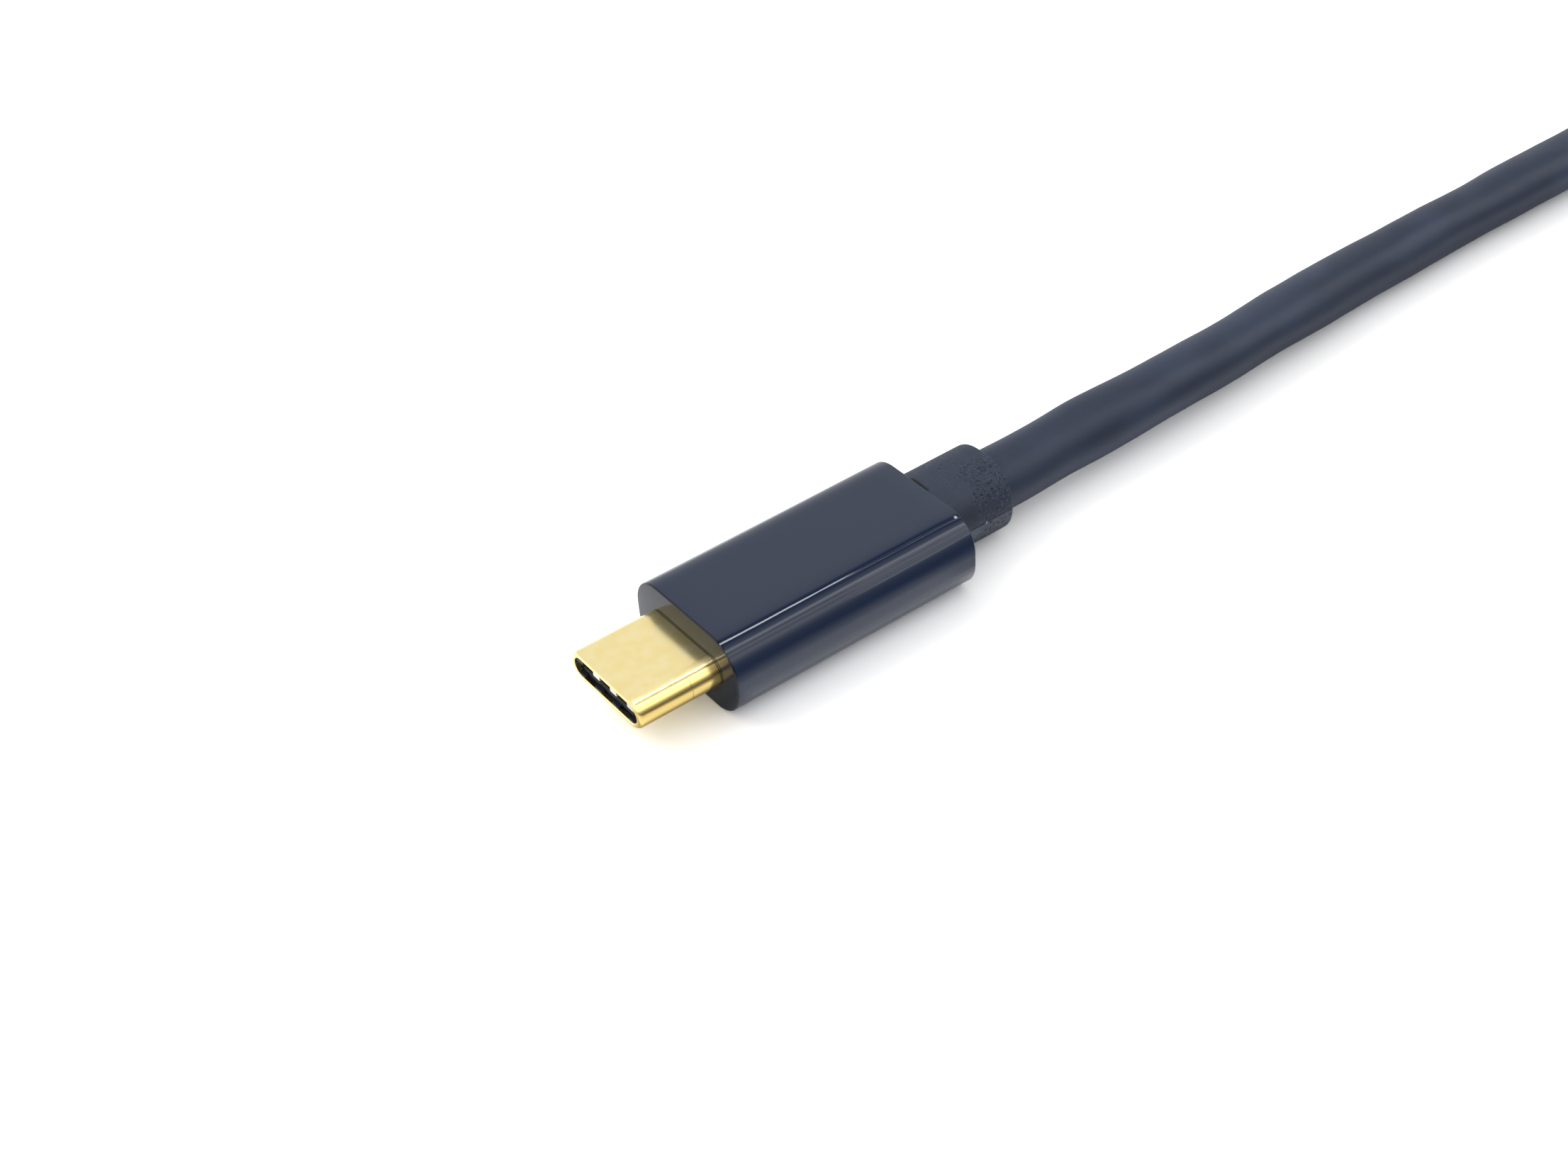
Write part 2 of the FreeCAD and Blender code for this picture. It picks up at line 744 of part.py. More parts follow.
def usb_sleeve():
    """Glossy outer sleeve: one moulding, closed in front round the shell."""
    item = body("usb_sleeve")
    pad(item, "YZ_Plane", (0, 0, s.shell_exposed),
        rounded(sleeve_width, sleeve_height, sleeve_corner), s.sleeve_length)
    finish_edges(item, "Fillet", at_x(s.shell_exposed), s.sleeve_edge)
    finish_edges(item, "Fillet", at_x(sleeve_end), s.sleeve_edge)
    cut(item, "YZ_Plane", (0, 0, cavity_start),
        rounded(cavity_width, cavity_height, cavity_corner), s.sleeve_length)
    cut(item, "YZ_Plane", (0, 0, s.shell_exposed),
        stadium(s.shell_width, s.shell_height), s.sleeve_front)
    return item


def usb_strain_relief():
    """Soft stub behind the sleeve; its flange closes the sleeve from inside."""
    item = body("usb_strain_relief")
    pad(item, "YZ_Plane", (s.relief_offset, 0, relief_start),
        rounded(s.relief_width, sleeve_height, (sleeve_height - s.relief_flat) / 2),
        plug_length - relief_start)
    finish_edges(item, "Fillet", at_x(plug_length), s.relief_edge)
    trim = sleeve_height - cavity_height
    for side in (1, -1):
        cut(item, "YZ_Plane", (0, side * sleeve_height / 2, relief_start),
            rectangle(sleeve_width, trim), s.relief_flange)
    pad(item, "YZ_Plane", (0, 0, relief_start),
        rounded(cavity_width, cavity_height, cavity_corner), s.relief_flange)
    cut(item, "YZ_Plane", (0, 0, relief_start), circle(s.core_diameter),
        plug_length - relief_start)
    cut(item, "YZ_Plane", (s.relief_offset, 0, jacket_start), circle(s.cable_diameter),
        s.jacket_grip)
    return item


def wires(label, end_x, foot, axis_y, axis_z, surfaces, way):
    """Bared wires from the core's end to the pads on both faces of a board.

    surfaces are the two heights where the wires lie, way is the sign along X.
    """
    half = s.wire_diameter.value / 2
    solids = []
    for surface, core_z in zip(surfaces, (0.75, -0.75)):
        for i in range(int(s.wire_count.value)):
            place = i - (s.wire_count.value - 1) / 2
            y_core = axis_y + place * s.core_wire_pitch.value
            y_pad = axis_y + place * s.wire_pitch.value
            height = surface + math.copysign(half, core_z)
            gap = abs(end_x - foot)
            route = [(end_x, y_core, axis_z + core_z),
                     (end_x + way * 0.25 * gap, y_core, axis_z + core_z),
                     (foot - way * 0.1 * gap, y_pad, height),
                     (foot + way * s.wire_pad.value, y_pad, height)]
            solids.append(tube(route, s.wire_diameter.value, bend=s.wire_bend.value)[0])
    return shaped(label, Part.makeCompound(solids))


def usb_wires():
    half_card = s.card_thickness.value / 2
    axis = plug_axis.value
    return wires("usb_wires", (mouth_x + core_start).value, (mouth_x + card_end).value,
                 0.0, axis, (axis + half_card, axis - half_card), -1)


# Lead

def lead():
    """The jacketed cable, from one relief to the other, and its two bared cores."""
    start = ((mouth_x + jacket_start).value, s.relief_offset.value, plug_axis.value)
    end_x = housing_foot + jacket_end
    end = (end_x.value, s.housing_offset.value, housing_axis.value)
    middle = [(x + mouth_x.value, y, z) for x, y, z in ROUTE_MIDDLE]
    solid, length, radii = tube([start] + middle + [end], s.cable_diameter.value)
    print(f"cable: {length:.1f} mm, radii " + ", ".join(f"{r:.0f}" for r in radii))
    return shaped("cable", solid)


def core(label, start, length, **place):
    """The cable's braided core where the jacket is stripped off it."""
    item = body(label, **place)
    pad(item, "YZ_Plane", (0, 0, start), circle(s.core_diameter), length)
    return item


# HDMI housing, drawn from the foot of its sleeve

HOUSING = dict(x=housing_foot, y=s.housing_offset, z=housing_axis)


def hdmi_strain_relief():
    """Soft neck through the housing's rear wall, held by its inner flange."""
    item = body("hdmi_strain_relief", **HOUSING)
    neck = rounded(s.neck_width, s.neck_height, neck_corner)
    pad(item, "YZ_Plane", (0, 0, -s.neck_length), neck, s.neck_length + potting_start)
    finish_edges(item, "Fillet", at_x(-s.neck_length), s.neck_edge)
    pad(item, "YZ_Plane", (0, 0, s.housing_rear),
        rectangle(s.neck_width + 2 * s.flange_reach, housing_inner_height - 2 * s.flange_gap),
        s.neck_flange)
    cut(item, "YZ_Plane", (0, 0, -s.neck_length), circle(s.cable_diameter),
        s.neck_length + jacket_end)
    cut(item, "YZ_Plane", (0, 0, jacket_end), circle(s.core_diameter), s.neck_jacket)
    return item


def hdmi_sleeve():
    """Glossy housing sleeve: one moulding, closed at the rear round the neck."""
    item = body("hdmi_sleeve", **HOUSING)
    pad(item, "YZ_Plane", (0, 0, 0),
        rounded(s.housing_width, s.housing_height, s.housing_corner), housing_length)
    finish_edges(item, "Fillet", at_x(size(0)), s.sleeve_edge * 2)
    finish_edges(item, "Fillet", at_x(housing_length), s.sleeve_edge)
    cut(item, "YZ_Plane", (0, 0, s.housing_rear),
        rounded(housing_inner_width, housing_inner_height, housing_inner_corner),
        housing_length)
    cut(item, "YZ_Plane", (0, 0, 0),
        rounded(s.neck_width, s.neck_height, neck_corner), s.housing_rear)
    return item


def socket_outline(margin):
    """The receptacle's section: upright sides above, sloped in below."""
    turn = tangent(s.socket_slope / 2)
    base_turn = tangent((90 - s.socket_slope) / 2)
    top = s.socket_height / 2
    knee = top - s.socket_side
    inset = (s.socket_height - s.socket_side) * tangent(s.socket_slope)
    side = s.socket_width / 2
    half = [(side + margin, top + margin), (side + margin, knee - margin * turn),
            (side - inset + margin * base_turn, -top - margin)]
    return polygon(half + [(-y, z) for y, z in reversed(half)])


def hdmi_front_plate():
    """Glossy plate pressed into the sleeve's mouth, round the receptacle."""
    item = body("hdmi_front_plate", **HOUSING)
    pad(item, "YZ_Plane", (0, 0, plate_x),
        rounded(housing_inner_width, housing_inner_height, housing_inner_corner),
        s.front_plate)
    cut(item, "YZ_Plane", (0, 0, plate_x), socket_outline(s.socket_wall), s.front_plate)
    return item


def spring_fingers(item, length_from, side):
    """Windows in a flat wall, each with a finger that springs into the mouth."""
    wall = side * (s.socket_height + s.socket_wall) / 2
    rear = length_from - s.window_front - s.window_length
    press = side * s.finger_press
    face = side * s.socket_height / 2
    skin = side * s.socket_wall
    made = []
    for place in (1, -1):
        y = place * s.finger_spacing
        made.append(cut(item, "XY_Plane",
                        (rear + s.window_length / 2, y, wall - s.socket_wall / 2),
                        rectangle(s.window_length, s.window_width), s.socket_wall))
    tip = rear + s.window_length - 0.5
    outline = [(rear - 0.01, face), (rear + 0.3, face), (tip - 1.2, face - press),
               (tip, face - press / 3), (tip, face - press / 3 + skin * 2 / 3),
               (tip - 1.2, face - press + skin * 2 / 3), (rear + 0.3, face + skin),
               (rear - 0.01, face + skin)]
    for place in (1, -1):
        centre = -place * s.finger_spacing - s.finger_width / 2
        pad(item, "XZ_Plane", (0, 0, centre), polygon(outline), s.finger_width)


def hdmi_shell():
    """Folded receptacle shell with two spring fingers above and below."""
    item = body("hdmi_shell", **HOUSING)
    pad(item, "YZ_Plane", (0, 0, socket_x), socket_outline(s.socket_wall),
        s.socket_length)
    cut(item, "YZ_Plane", (0, 0, socket_x), socket_outline(size(0)), s.socket_length)
    for side in (1, -1):
        spring_fingers(item, housing_length, side)
    return item


def hdmi_insulator():
    """Black block and tongue that carry the receptacle's nineteen pins."""
    item = body("hdmi_insulator", **HOUSING)
    pad(item, "YZ_Plane", (0, 0, socket_x), socket_outline(size(0)), s.socket_rear)
    tongue_x = socket_x + s.socket_rear
    tongue_length = s.socket_length - s.socket_rear - s.tongue_recess
    pad(item, "YZ_Plane", (0, 0, tongue_x), rectangle(tongue_width, s.tongue_height),
        tongue_length)
    for side, count in ((1, s.pin_upper_count), (-1, s.pin_lower_count)):
        middle = side * (s.tongue_height - s.pin_thickness) / 2
        first = -pin_pitch * (count - 1) / 2
        groove = cut(item, "YZ_Plane", (first, middle, socket_x),
                     rectangle(s.pin_width, s.pin_thickness),
                     s.socket_length - s.tongue_recess - 0.6)
        row(item, groove, "Y_Axis", pin_pitch, count)
    return item


def hdmi_contacts(label, side, count, back):
    """A row of pins: along the tongue, through the block and down to the board."""
    item = body(label, **HOUSING)
    outer = side * s.tongue_height / 2
    inner = outer - side * s.pin_thickness
    high, low = (outer, inner) if side > 0 else (inner, outer)
    front = housing_length - s.tongue_recess - 0.6
    heel = socket_x - back
    foot = heel - s.pin_foot
    thick = s.pin_thickness
    outline = [(front, low), (front, high), (heel - thick, high),
               (heel - thick, board_top + thick), (foot, board_top + thick),
               (foot, board_top), (heel, board_top), (heel, low)]
    first = pin_pitch * (count - 1) / 2 - s.pin_width / 2
    pin = pad(item, "XZ_Plane", (0, 0, first), polygon(outline), s.pin_width)
    row(item, pin, "Y_Axis", pin_pitch, count)
    return item


def hdmi_board():
    item = body("hdmi_board", **HOUSING)
    pad(item, "XY_Plane", ((board_start + board_end) / 2, 0, board_top - s.board_thickness),
        rectangle(board_end - board_start, board_width), s.board_thickness)
    return item


def on_board(label, x, y, length, width, height):
    """A block that is soldered on the board's upper face."""
    item = body(label, **HOUSING)
    block = pad(item, "XY_Plane", (x, y, board_top), rectangle(length, width), height)
    return item, block


def hdmi_board_parts():
    """A row of small capacitors between the converter and the receptacle."""
    first = -s.part_pitch * (s.part_count - 1) / 2 - 1.6
    item, block = on_board("hdmi_board_parts", cover_end - s.part_setback, first,
                           s.part_width, s.part_length, s.part_height)
    row(item, block, "Y_Axis", s.part_pitch, s.part_count)
    return item


def hdmi_shield():
    """Folded cover over the converter and its small parts, open below."""
    item = body("hdmi_shield", **HOUSING)
    middle = cover_x + s.cover_length / 2
    cover_width = board_width - 2 * s.cover_inset
    pad(item, "XY_Plane", (middle, 0, board_top),
        rectangle(s.cover_length, cover_width), s.cover_height)
    cut(item, "XY_Plane", (middle, 0, board_top),
        rectangle(s.cover_length - 2 * s.cover_wall, cover_width - 2 * s.cover_wall),
        s.cover_height - s.cover_wall)
    return item


def hdmi_wires():
    axis = housing_axis.value
    top = axis + board_top.value
    return wires("hdmi_wires", (housing_foot + far_core_end).value,
                 (housing_foot + board_start).value, s.housing_offset.value, axis,
                 (top, top - s.board_thickness.value), 1)


def hdmi_inner_mould(wires):
    """Plain block that grips the core, its crimp and the rear of the board."""
    blank = body("hdmi_inner_mould_blank", **HOUSING)
    pad(blank, "YZ_Plane", (0, 0, potting_start),
        rounded(housing_inner_width, housing_inner_height, housing_inner_corner),
        board_start + s.board_grip - potting_start)
    cut(blank, "YZ_Plane", (0, 0, potting_start), circle(s.core_diameter), s.core_stub)
    cut(blank, "YZ_Plane", (0, 0, potting_start + 0.2),
        circle(s.core_diameter + 2 * s.crimp_wall), s.crimp_length)
    board_middle = board_top - s.board_thickness / 2
    cut(blank, "YZ_Plane", (0, board_middle, board_start),
        rectangle(board_width, s.board_thickness + 2 * pad_room), s.board_grip)
    return cut_from("hdmi_inner_mould", blank, wires)


# Assembly

crimp_x = core_start + 0.25
latch = usb_latch_plate()
plug_wires = usb_wires()
far_wires = hdmi_wires()

pieces = [
    usb_shell(), usb_insulator(latch), usb_contacts("usb_contacts_upper", 1),
    usb_contacts("usb_contacts_lower", -1), latch,
    usb_emi_spring("usb_emi_spring_upper", 1, s.spring_tab_drop),
    usb_emi_spring("usb_emi_spring_lower", -1, s.spring_tab_rise),
    usb_paddle_card(), usb_card_chip(),
    usb_card_capacitors(), usb_can("usb_can_upper", 1), usb_can("usb_can_lower", -1),
    crimp("usb_crimp", crimp_x), core("usb_core", core_start, jacket_start - core_start),
    plug_wires, usb_inner_mould(plug_wires), usb_sleeve(), usb_strain_relief(),
    lead(),
    hdmi_strain_relief(), hdmi_sleeve(), hdmi_front_plate(), hdmi_shell(), hdmi_insulator(),
    hdmi_contacts("hdmi_contacts_upper", 1, s.pin_upper_count, size(0.9)),
    hdmi_contacts("hdmi_contacts_lower", -1, s.pin_lower_count, size(0.3)),
    hdmi_board(),
    on_board("hdmi_converter_chip", cover_x + s.converter_setback, 0, s.converter_size,
             s.converter_size, s.converter_height)[0],
    on_board("hdmi_crystal", cover_end - s.crystal_setback, s.crystal_y, s.crystal_length,
             s.crystal_width, s.crystal_height)[0],
    hdmi_board_parts(), hdmi_shield(), crimp("hdmi_crimp", potting_start + 0.2, **HOUSING),
    core("hdmi_core", jacket_end, far_core_end - jacket_end, **HOUSING),
    far_wires, hdmi_inner_mould(far_wires),
]

doc.recompute()
for item in doc.Objects:
    if {"Invalid", "Error"} & set(item.State):
        raise RuntimeError(f"{item.Label}: {item.State}")
os.makedirs("parts", exist_ok=True)
for piece in pieces:
    if piece.Shape.isNull() or not piece.Shape.isValid():
        raise RuntimeError(f"{piece.Label} has no valid shape")
    piece.Shape.exportStep(f"parts/{piece.Label}.step")
    box = piece.Shape.BoundBox
    print(f"{piece.Label}: {len(piece.Shape.Solids)} solids, {piece.Shape.Volume:.2f} mm3, "
          f"x {box.XMin:.2f}..{box.XMax:.2f} y {box.YMin:.2f}..{box.YMax:.2f} "
          f"z {box.ZMin:.2f}..{box.ZMax:.2f}")
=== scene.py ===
import json
import math
from contextlib import contextmanager

import bmesh
import bpy
from mathutils import Matrix, Vector, noise


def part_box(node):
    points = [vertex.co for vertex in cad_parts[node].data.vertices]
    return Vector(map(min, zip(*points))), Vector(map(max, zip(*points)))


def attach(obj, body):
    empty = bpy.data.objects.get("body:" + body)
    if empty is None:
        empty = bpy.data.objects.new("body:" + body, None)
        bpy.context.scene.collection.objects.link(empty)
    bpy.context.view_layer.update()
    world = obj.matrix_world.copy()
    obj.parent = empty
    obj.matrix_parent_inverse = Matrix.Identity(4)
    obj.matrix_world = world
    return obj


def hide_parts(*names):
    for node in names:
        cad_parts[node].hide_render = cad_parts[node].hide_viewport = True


# A USB-C plug in a glossy navy sleeve on a white table, its cable leaving to
# the upper right, and the HDMI housing out of view at the cable's far end.

MM = 0.001

# Camera, from the vanishing point and the outlines of the plug in the photograph

PHOTO_WIDTH_PX = 2212
FOCAL_PX = 3289.2
HEADING = math.radians(-34.459)
ELEVATION = math.radians(39.972)
ROLL = math.radians(-4.285)
DISTANCE = 160.671 * MM
SENSOR_WIDTH = 36

# The point of the plug that is aimed at, and where it shows from the picture's middle.
AIM_BEHIND_MOUTH, AIM_HEIGHT = 15 * MM, 3 * MM
AIM_PX = (1.46, -10.38)

# Sizes of the pieces that are drawn again here, as the solids have them

# Places along the plug count from its mouth, which lies at MOUTH_X.
PLUG_LENGTH = 33.27 * MM
MOUTH_X = -PLUG_LENGTH / 2
PLUG_AXIS = 3.1 * MM
SHELL_WIDTH, SHELL_HEIGHT, SHELL_WALL = 8.25 * MM, 2.40 * MM, 0.25 * MM
SHELL_END = 10.2 * MM
LIP_TURN_IN, LIP_THICKNESS, LIP_RADIUS = 0.45 * MM, 0.30 * MM, 0.33 * MM
LIP_BREAK = 0.06 * MM
SLEEVE_START, SLEEVE_END = 6.65 * MM, 27.35 * MM
SLEEVE_WIDTH, SLEEVE_HEIGHT, SLEEVE_CORNER = 11.6 * MM, 6.2 * MM, 2.6 * MM
SLEEVE_WALL, SLEEVE_FRONT, SLEEVE_EDGE = 0.9 * MM, 1.2 * MM, 0.12 * MM
RELIEF_START = 23.35 * MM
RELIEF_WIDTH, RELIEF_FLAT = 6.7 * MM, 0.46 * MM
RELIEF_FOOT, RELIEF_EDGE = 0.1 * MM, 0.25 * MM
RELIEF_OFFSET = 0.28 * MM
JACKET_START = 28.37 * MM
CABLE_DIAMETER = 4.7 * MM
CORE_DIAMETER = 3.3 * MM
PLUG_CONTACTS, PLUG_PITCH, PLUG_CONTACT_WIDTH = 12, 0.5 * MM, 0.25 * MM
UPPER_PINS, LOWER_PINS, PIN_PITCH, PIN_WIDTH = 10, 9, 1.0 * MM, 0.3 * MM

# Width, height and corner of the plug's three outlines.
SHELL_PROFILE = (SHELL_WIDTH, SHELL_HEIGHT, SHELL_HEIGHT / 2)
SLEEVE_PROFILE = (SLEEVE_WIDTH, SLEEVE_HEIGHT, SLEEVE_CORNER)
RELIEF_PROFILE = (RELIEF_WIDTH, SLEEVE_HEIGHT, (SLEEVE_HEIGHT - RELIEF_FLAT) / 2)

# The cable's route, the same points as the solid's

CABLE_ROUTE = [
    (28.37, 0.28, 3.10),
    (45.0, 0.28, 3.10),
    (67.0, 1.6, 2.70),
    (90.0, 2.6, 2.35),
    (113.0, 2.5, 2.35),
    (134.0, 0.2, 2.70),
    (153.5, -3.1, 4.55),
    (171.0, -4.0, 5.75),
    (185.1, -4.0, 5.75),
]

# The jacket's swells, each with its height and the length it runs over

# The jacket is fuller near the plug, pushed about slowly and quickly along its way, and
# lobed by the wires' twist. It starts round, and the swells rise over its first stretch.
FULL_SWELL, FULL_LENGTH = 0.13 * MM, 42 * MM
SLOW_SWELL, SLOW_LENGTH = 0.17 * MM, 7.5 * MM
QUICK_SWELL, QUICK_LENGTH = 0.035 * MM, 3.1 * MM
LOBE_SWELL, LOBE_LENGTH = 0.05 * MM, 36 * MM
SWELL_STARTS_OVER = 8 * MM

# Marks on the surfaces, and the places of painted shade and a painted highlight

# Painted shade: a dark band on the gold in the gap before the sleeve.
SHELL_GAP_SHADE = MOUTH_X + 6.6 * MM
SHELL_LAP = MOUTH_X + 4.3 * MM
# Painted highlight: a pale spot on a small bump at the sleeve's rear corner.
SLEEVE_GLINT = (MOUTH_X + 26.95 * MM, -4.1 * MM, 6.04 * MM)
RELIEF_NICK = (MOUTH_X + 30.7 * MM, -3.08 * MM, 2.97 * MM)
PARTING_HEIGHT = 3.06 * MM

# How finely the meshes are drawn

# Points nearer than a hair are one point; a solid's own mesh is joined more coarsely.
HAIR, SOLID_HAIR = 1e-7, 1e-6
CORNER_STEPS, SHELL_CORNER_STEPS, SIDE_STEPS = 12, 32, 10
JACKET_STEP, JACKET_AROUND = 0.5 * MM, 48
SHARP_ANGLE = math.radians(32)

# Light

# The table's white, and how much whiter it is for the camera, so that it is full white
# where nothing shades it.
TABLE_WHITE, TABLE_LIFT = 0.90, 1.81
ROOM_LIGHT = 0.79
WINDOW_PLACE, WINDOW_SIZE, WINDOW_POWER = (-0.28, 0.42, 0.48), 0.40, 1.3

# What a mirror shows of the table, as its share of the plain level by Y in mm. It is
# dark far off towards the viewer. The first row is for the table beside the gold, and it
# becomes the second over a stretch of X.
TABLE_BESIDE_GOLD = [
    (-60, 0.5), (-16, 0.55), (-11, 0.66), (-8.6, 0.68), (-6.7, 0.84), (-5.3, 0.7),
    (-4.4, 0.4), (-3.4, 0.32), (-2.4, 0.5), (1, 0.6), (6, 0.85), (20, 0.88)]
TABLE_BESIDE_NAVY = [
    (-60, 0.06), (-32, 0.08), (-19, 0.2), (-14.2, 0.4), (-11.6, 0.57), (-9.3, 0.95),
    (-7.9, 1.6), (-6.3, 1.6), (-5.8, 1.05), (-5.4, 0.8), (6, 0.8), (20, 0.88)]
GOLD_TO, NAVY_FROM = -9.5 * MM, -7.5 * MM

# Beside the cable, past a stretch of X, the table in the mirror is darker. Its pattern
# lies nearer the middle there, by so many mm, as the cable is narrower than the plug.
PLUG_TO, CABLE_FROM = 9 * MM, 19 * MM
CABLE_NEARER, CABLE_DARKER = 3.5, 0.35

# What a mirror shows over the table, as the angle about X in degrees, from +Y over the
# top to -Y, with its brightness. There is a white wall behind, a dark gap, the ceiling
# with its rows of lights, and a darker room in front.
ROOM = [
    (0, 0.92), (66, 0.92), (72, 0.75), (76, 0.35), (79, 0.0), (91, 0.0), (97, 0.15),
    (102, 0.55), (108, 0.85), (111, 1.2), (115, 3.2), (118, 3.9), (121, 1.6), (125, 1.2),
    (129, 2.3), (132, 1.9), (137, 1.25), (142, 2.0), (147, 1.75), (152, 1.15), (157, 0.7),
    (164, 0.35), (172, 0.17), (180, 0.12)]

# A long tube of light over the top, as its brightness, its two edges in degrees with
# their softness, and how far along X it ends. The rows of lights start there, each with
# its angle, its reach to both sides and its brightness.
TUBE_LEVEL, TUBE_FROM, TUBE_TO, TUBE_SOFT = 12.0, 85.4, 90.2, 0.4
TUBE_END, TUBE_END_SOFT = 0.457, 0.006
FAR_ROWS = [(91.5, 2.0, 2.4), (86, 2.5, 0.8), (123, 3.0, 1.5), (136, 3.5, 1.1), (153, 5.0, 1.3)]


# Meshes

@contextmanager
def opened(mesh):
    """The mesh for editing; what is done to it goes back into it at the end."""
    work = bmesh.new()
    work.from_mesh(mesh)
    yield work
    work.to_mesh(mesh)
    work.free()


def finish_surface(piece, material):
    """Its one material, and smooth shading up to its sharp edges."""
    mesh = piece.data
    mesh.materials.clear()
    mesh.materials.append(material)
    mesh.shade_smooth()
    mesh.set_sharp_from_angle(angle=SHARP_ANGLE)
    return piece


def placed(name, data):
    """A new object in the scene, at the origin."""
    item = bpy.data.objects.new(name, data)
    bpy.context.scene.collection.objects.link(item)
    return item


def mesh_piece(name, points, faces, material):
    """A closed piece from points and faces, its normals turned outwards."""
    mesh = bpy.data.meshes.new(name)
    mesh.from_pydata([tuple(p) for p in points], [], faces)
    with opened(mesh) as work:
        bmesh.ops.remove_doubles(work, verts=work.verts, dist=HAIR)
        bmesh.ops.recalc_face_normals(work, faces=work.faces)
    return finish_surface(placed(name, mesh), material)


def merged(piece, other):
    """Both meshes in the first object."""
    with opened(piece.data) as work:
        work.from_mesh(other.data)
    bpy.data.objects.remove(other)
    return finish_surface(piece, piece.data.materials[0])


def inset(profile, wall):
    """A profile's width, height and corner inside a wall."""
    width, height, corner = profile
    return width - 2 * wall, height - 2 * wall, corner - wall


def round_profile(across):
    """A round hole's width, height and corner, the corner kept a little short of half."""
    return across, across, across / 2 - 0.02 * MM


def rounded_ring(x, width, height, corner, corner_steps=CORNER_STEPS):
    """Points round a rectangle with round corners, across the X axis."""
    corner = min(corner, height / 2 - HAIR, width / 2 - HAIR)
    a, b = width / 2 - corner, height / 2 - corner
    centres = [(a, b), (-a, b), (-a, -b), (a, -b)]
    ring = []
    for quarter, (cy, cz) in enumerate(centres):
        for k in range(corner_steps + 1):
            turn = math.pi / 2 * (quarter + k / corner_steps)
            ring.append((x, cy + corner * math.cos(turn), cz + corner * math.sin(turn)))
        _, last_y, last_z = ring[-1]
        next_y, next_z = centres[(quarter + 1) % 4]
        for k in range(1, SIDE_STEPS):
            share = k / SIDE_STEPS
            ring.append((x, last_y + (next_y - cy) * share, last_z + (next_z - cz) * share))
    return ring


def rings_at(stations, corner_steps=CORNER_STEPS):
    """One ring for each place along X with its profile."""
    return [rounded_ring(x, *profile, corner_steps) for x, profile in stations]


def straight_rings(start, end, profile, steps, corner_steps=CORNER_STEPS):
    """Rings of one profile between two places, without those at both ends."""
    places = [start + (end - start) * k / steps for k in range(1, steps)]
    return rings_at([(x, profile) for x in places], corner_steps)


def edge_rings(x, inward, profile, radius, steps=5, corner_steps=CORNER_STEPS):
    """Rings over a rounded edge, from the end face out to the side."""
    stations = []
    for k in range(steps + 1):
        turn = math.pi / 2 * k / steps
        along = radius * (1 - math.cos(turn))
        stations.append((x + inward * along, inset(profile, radius * (1 - math.sin(turn)))))
    return rings_at(stations, corner_steps)


def quads_between(first, second, count):
    """Quads between two rings of points, each given by the number of its first point."""
    quads = []
    for i in range(count):
        j = (i + 1) % count
        quads.append((first + i, first + j, second + j, second + i))
    return quads


def loft(name, rings, material, offset):
    """Quads between rings of equal length, the last joined to the first."""
    count = len(rings[0])
    points = [Vector(p) + Vector(offset) for ring in rings for p in ring]
    faces = []
    for r in range(len(rings)):
        faces += quads_between(r * count, (r + 1) % len(rings) * count, count)
    return mesh_piece(name, points, faces, material)


# Materials

class Socket:
    """A shader value; sums, differences and products of it build Math nodes."""

    def __init__(self, tree, output):
        self.tree = tree
        self.output = output

    def math(self, operation, *others):
        """A Math node on this value and the others."""
        values = dict(enumerate((self, *others)))
        return self.tree.node("ShaderNodeMath", {"operation": operation}, values)

    def __add__(self, other):
        return self.math("ADD", other)

    def __radd__(self, other):
        return self.math("ADD", other)

    def __sub__(self, other):
        return self.math("SUBTRACT", other)

    def __rsub__(self, other):
        return self.tree.node("ShaderNodeMath", {"operation": "SUBTRACT"}, {0: other, 1: self})

    def __mul__(self, other):
        return self.math("MULTIPLY", other)

    def __rmul__(self, other):
        return self.math("MULTIPLY", other)

    def part(self, axis):
        """One coordinate of a place."""
        return self.tree.node("ShaderNodeSeparateXYZ", {}, {"Vector": self}, axis)

    def step(self, low, high):
        """0 at low, 1 at high and smooth between; low may be the larger."""
        return self.tree.node("ShaderNodeMapRange", {"interpolation_type": "SMOOTHSTEP"},
                              {"Value": self, "From Min": low, "From Max": high}, "Result")

    def bell(self, middle, reach):
        """1 at the middle, fading to 0 at its reach to both sides."""
        return (self - middle).math("ABSOLUTE").step(reach, 0.0)

    def spot(self, middle, reach):
        """1 at a point in space, fading to 0 at its reach all round."""
        away = self.tree.node("ShaderNodeVectorMath", {"operation": "DISTANCE"},
                              {0: self, 1: middle}, "Value")
        return away.step(reach, 0.3 * reach)


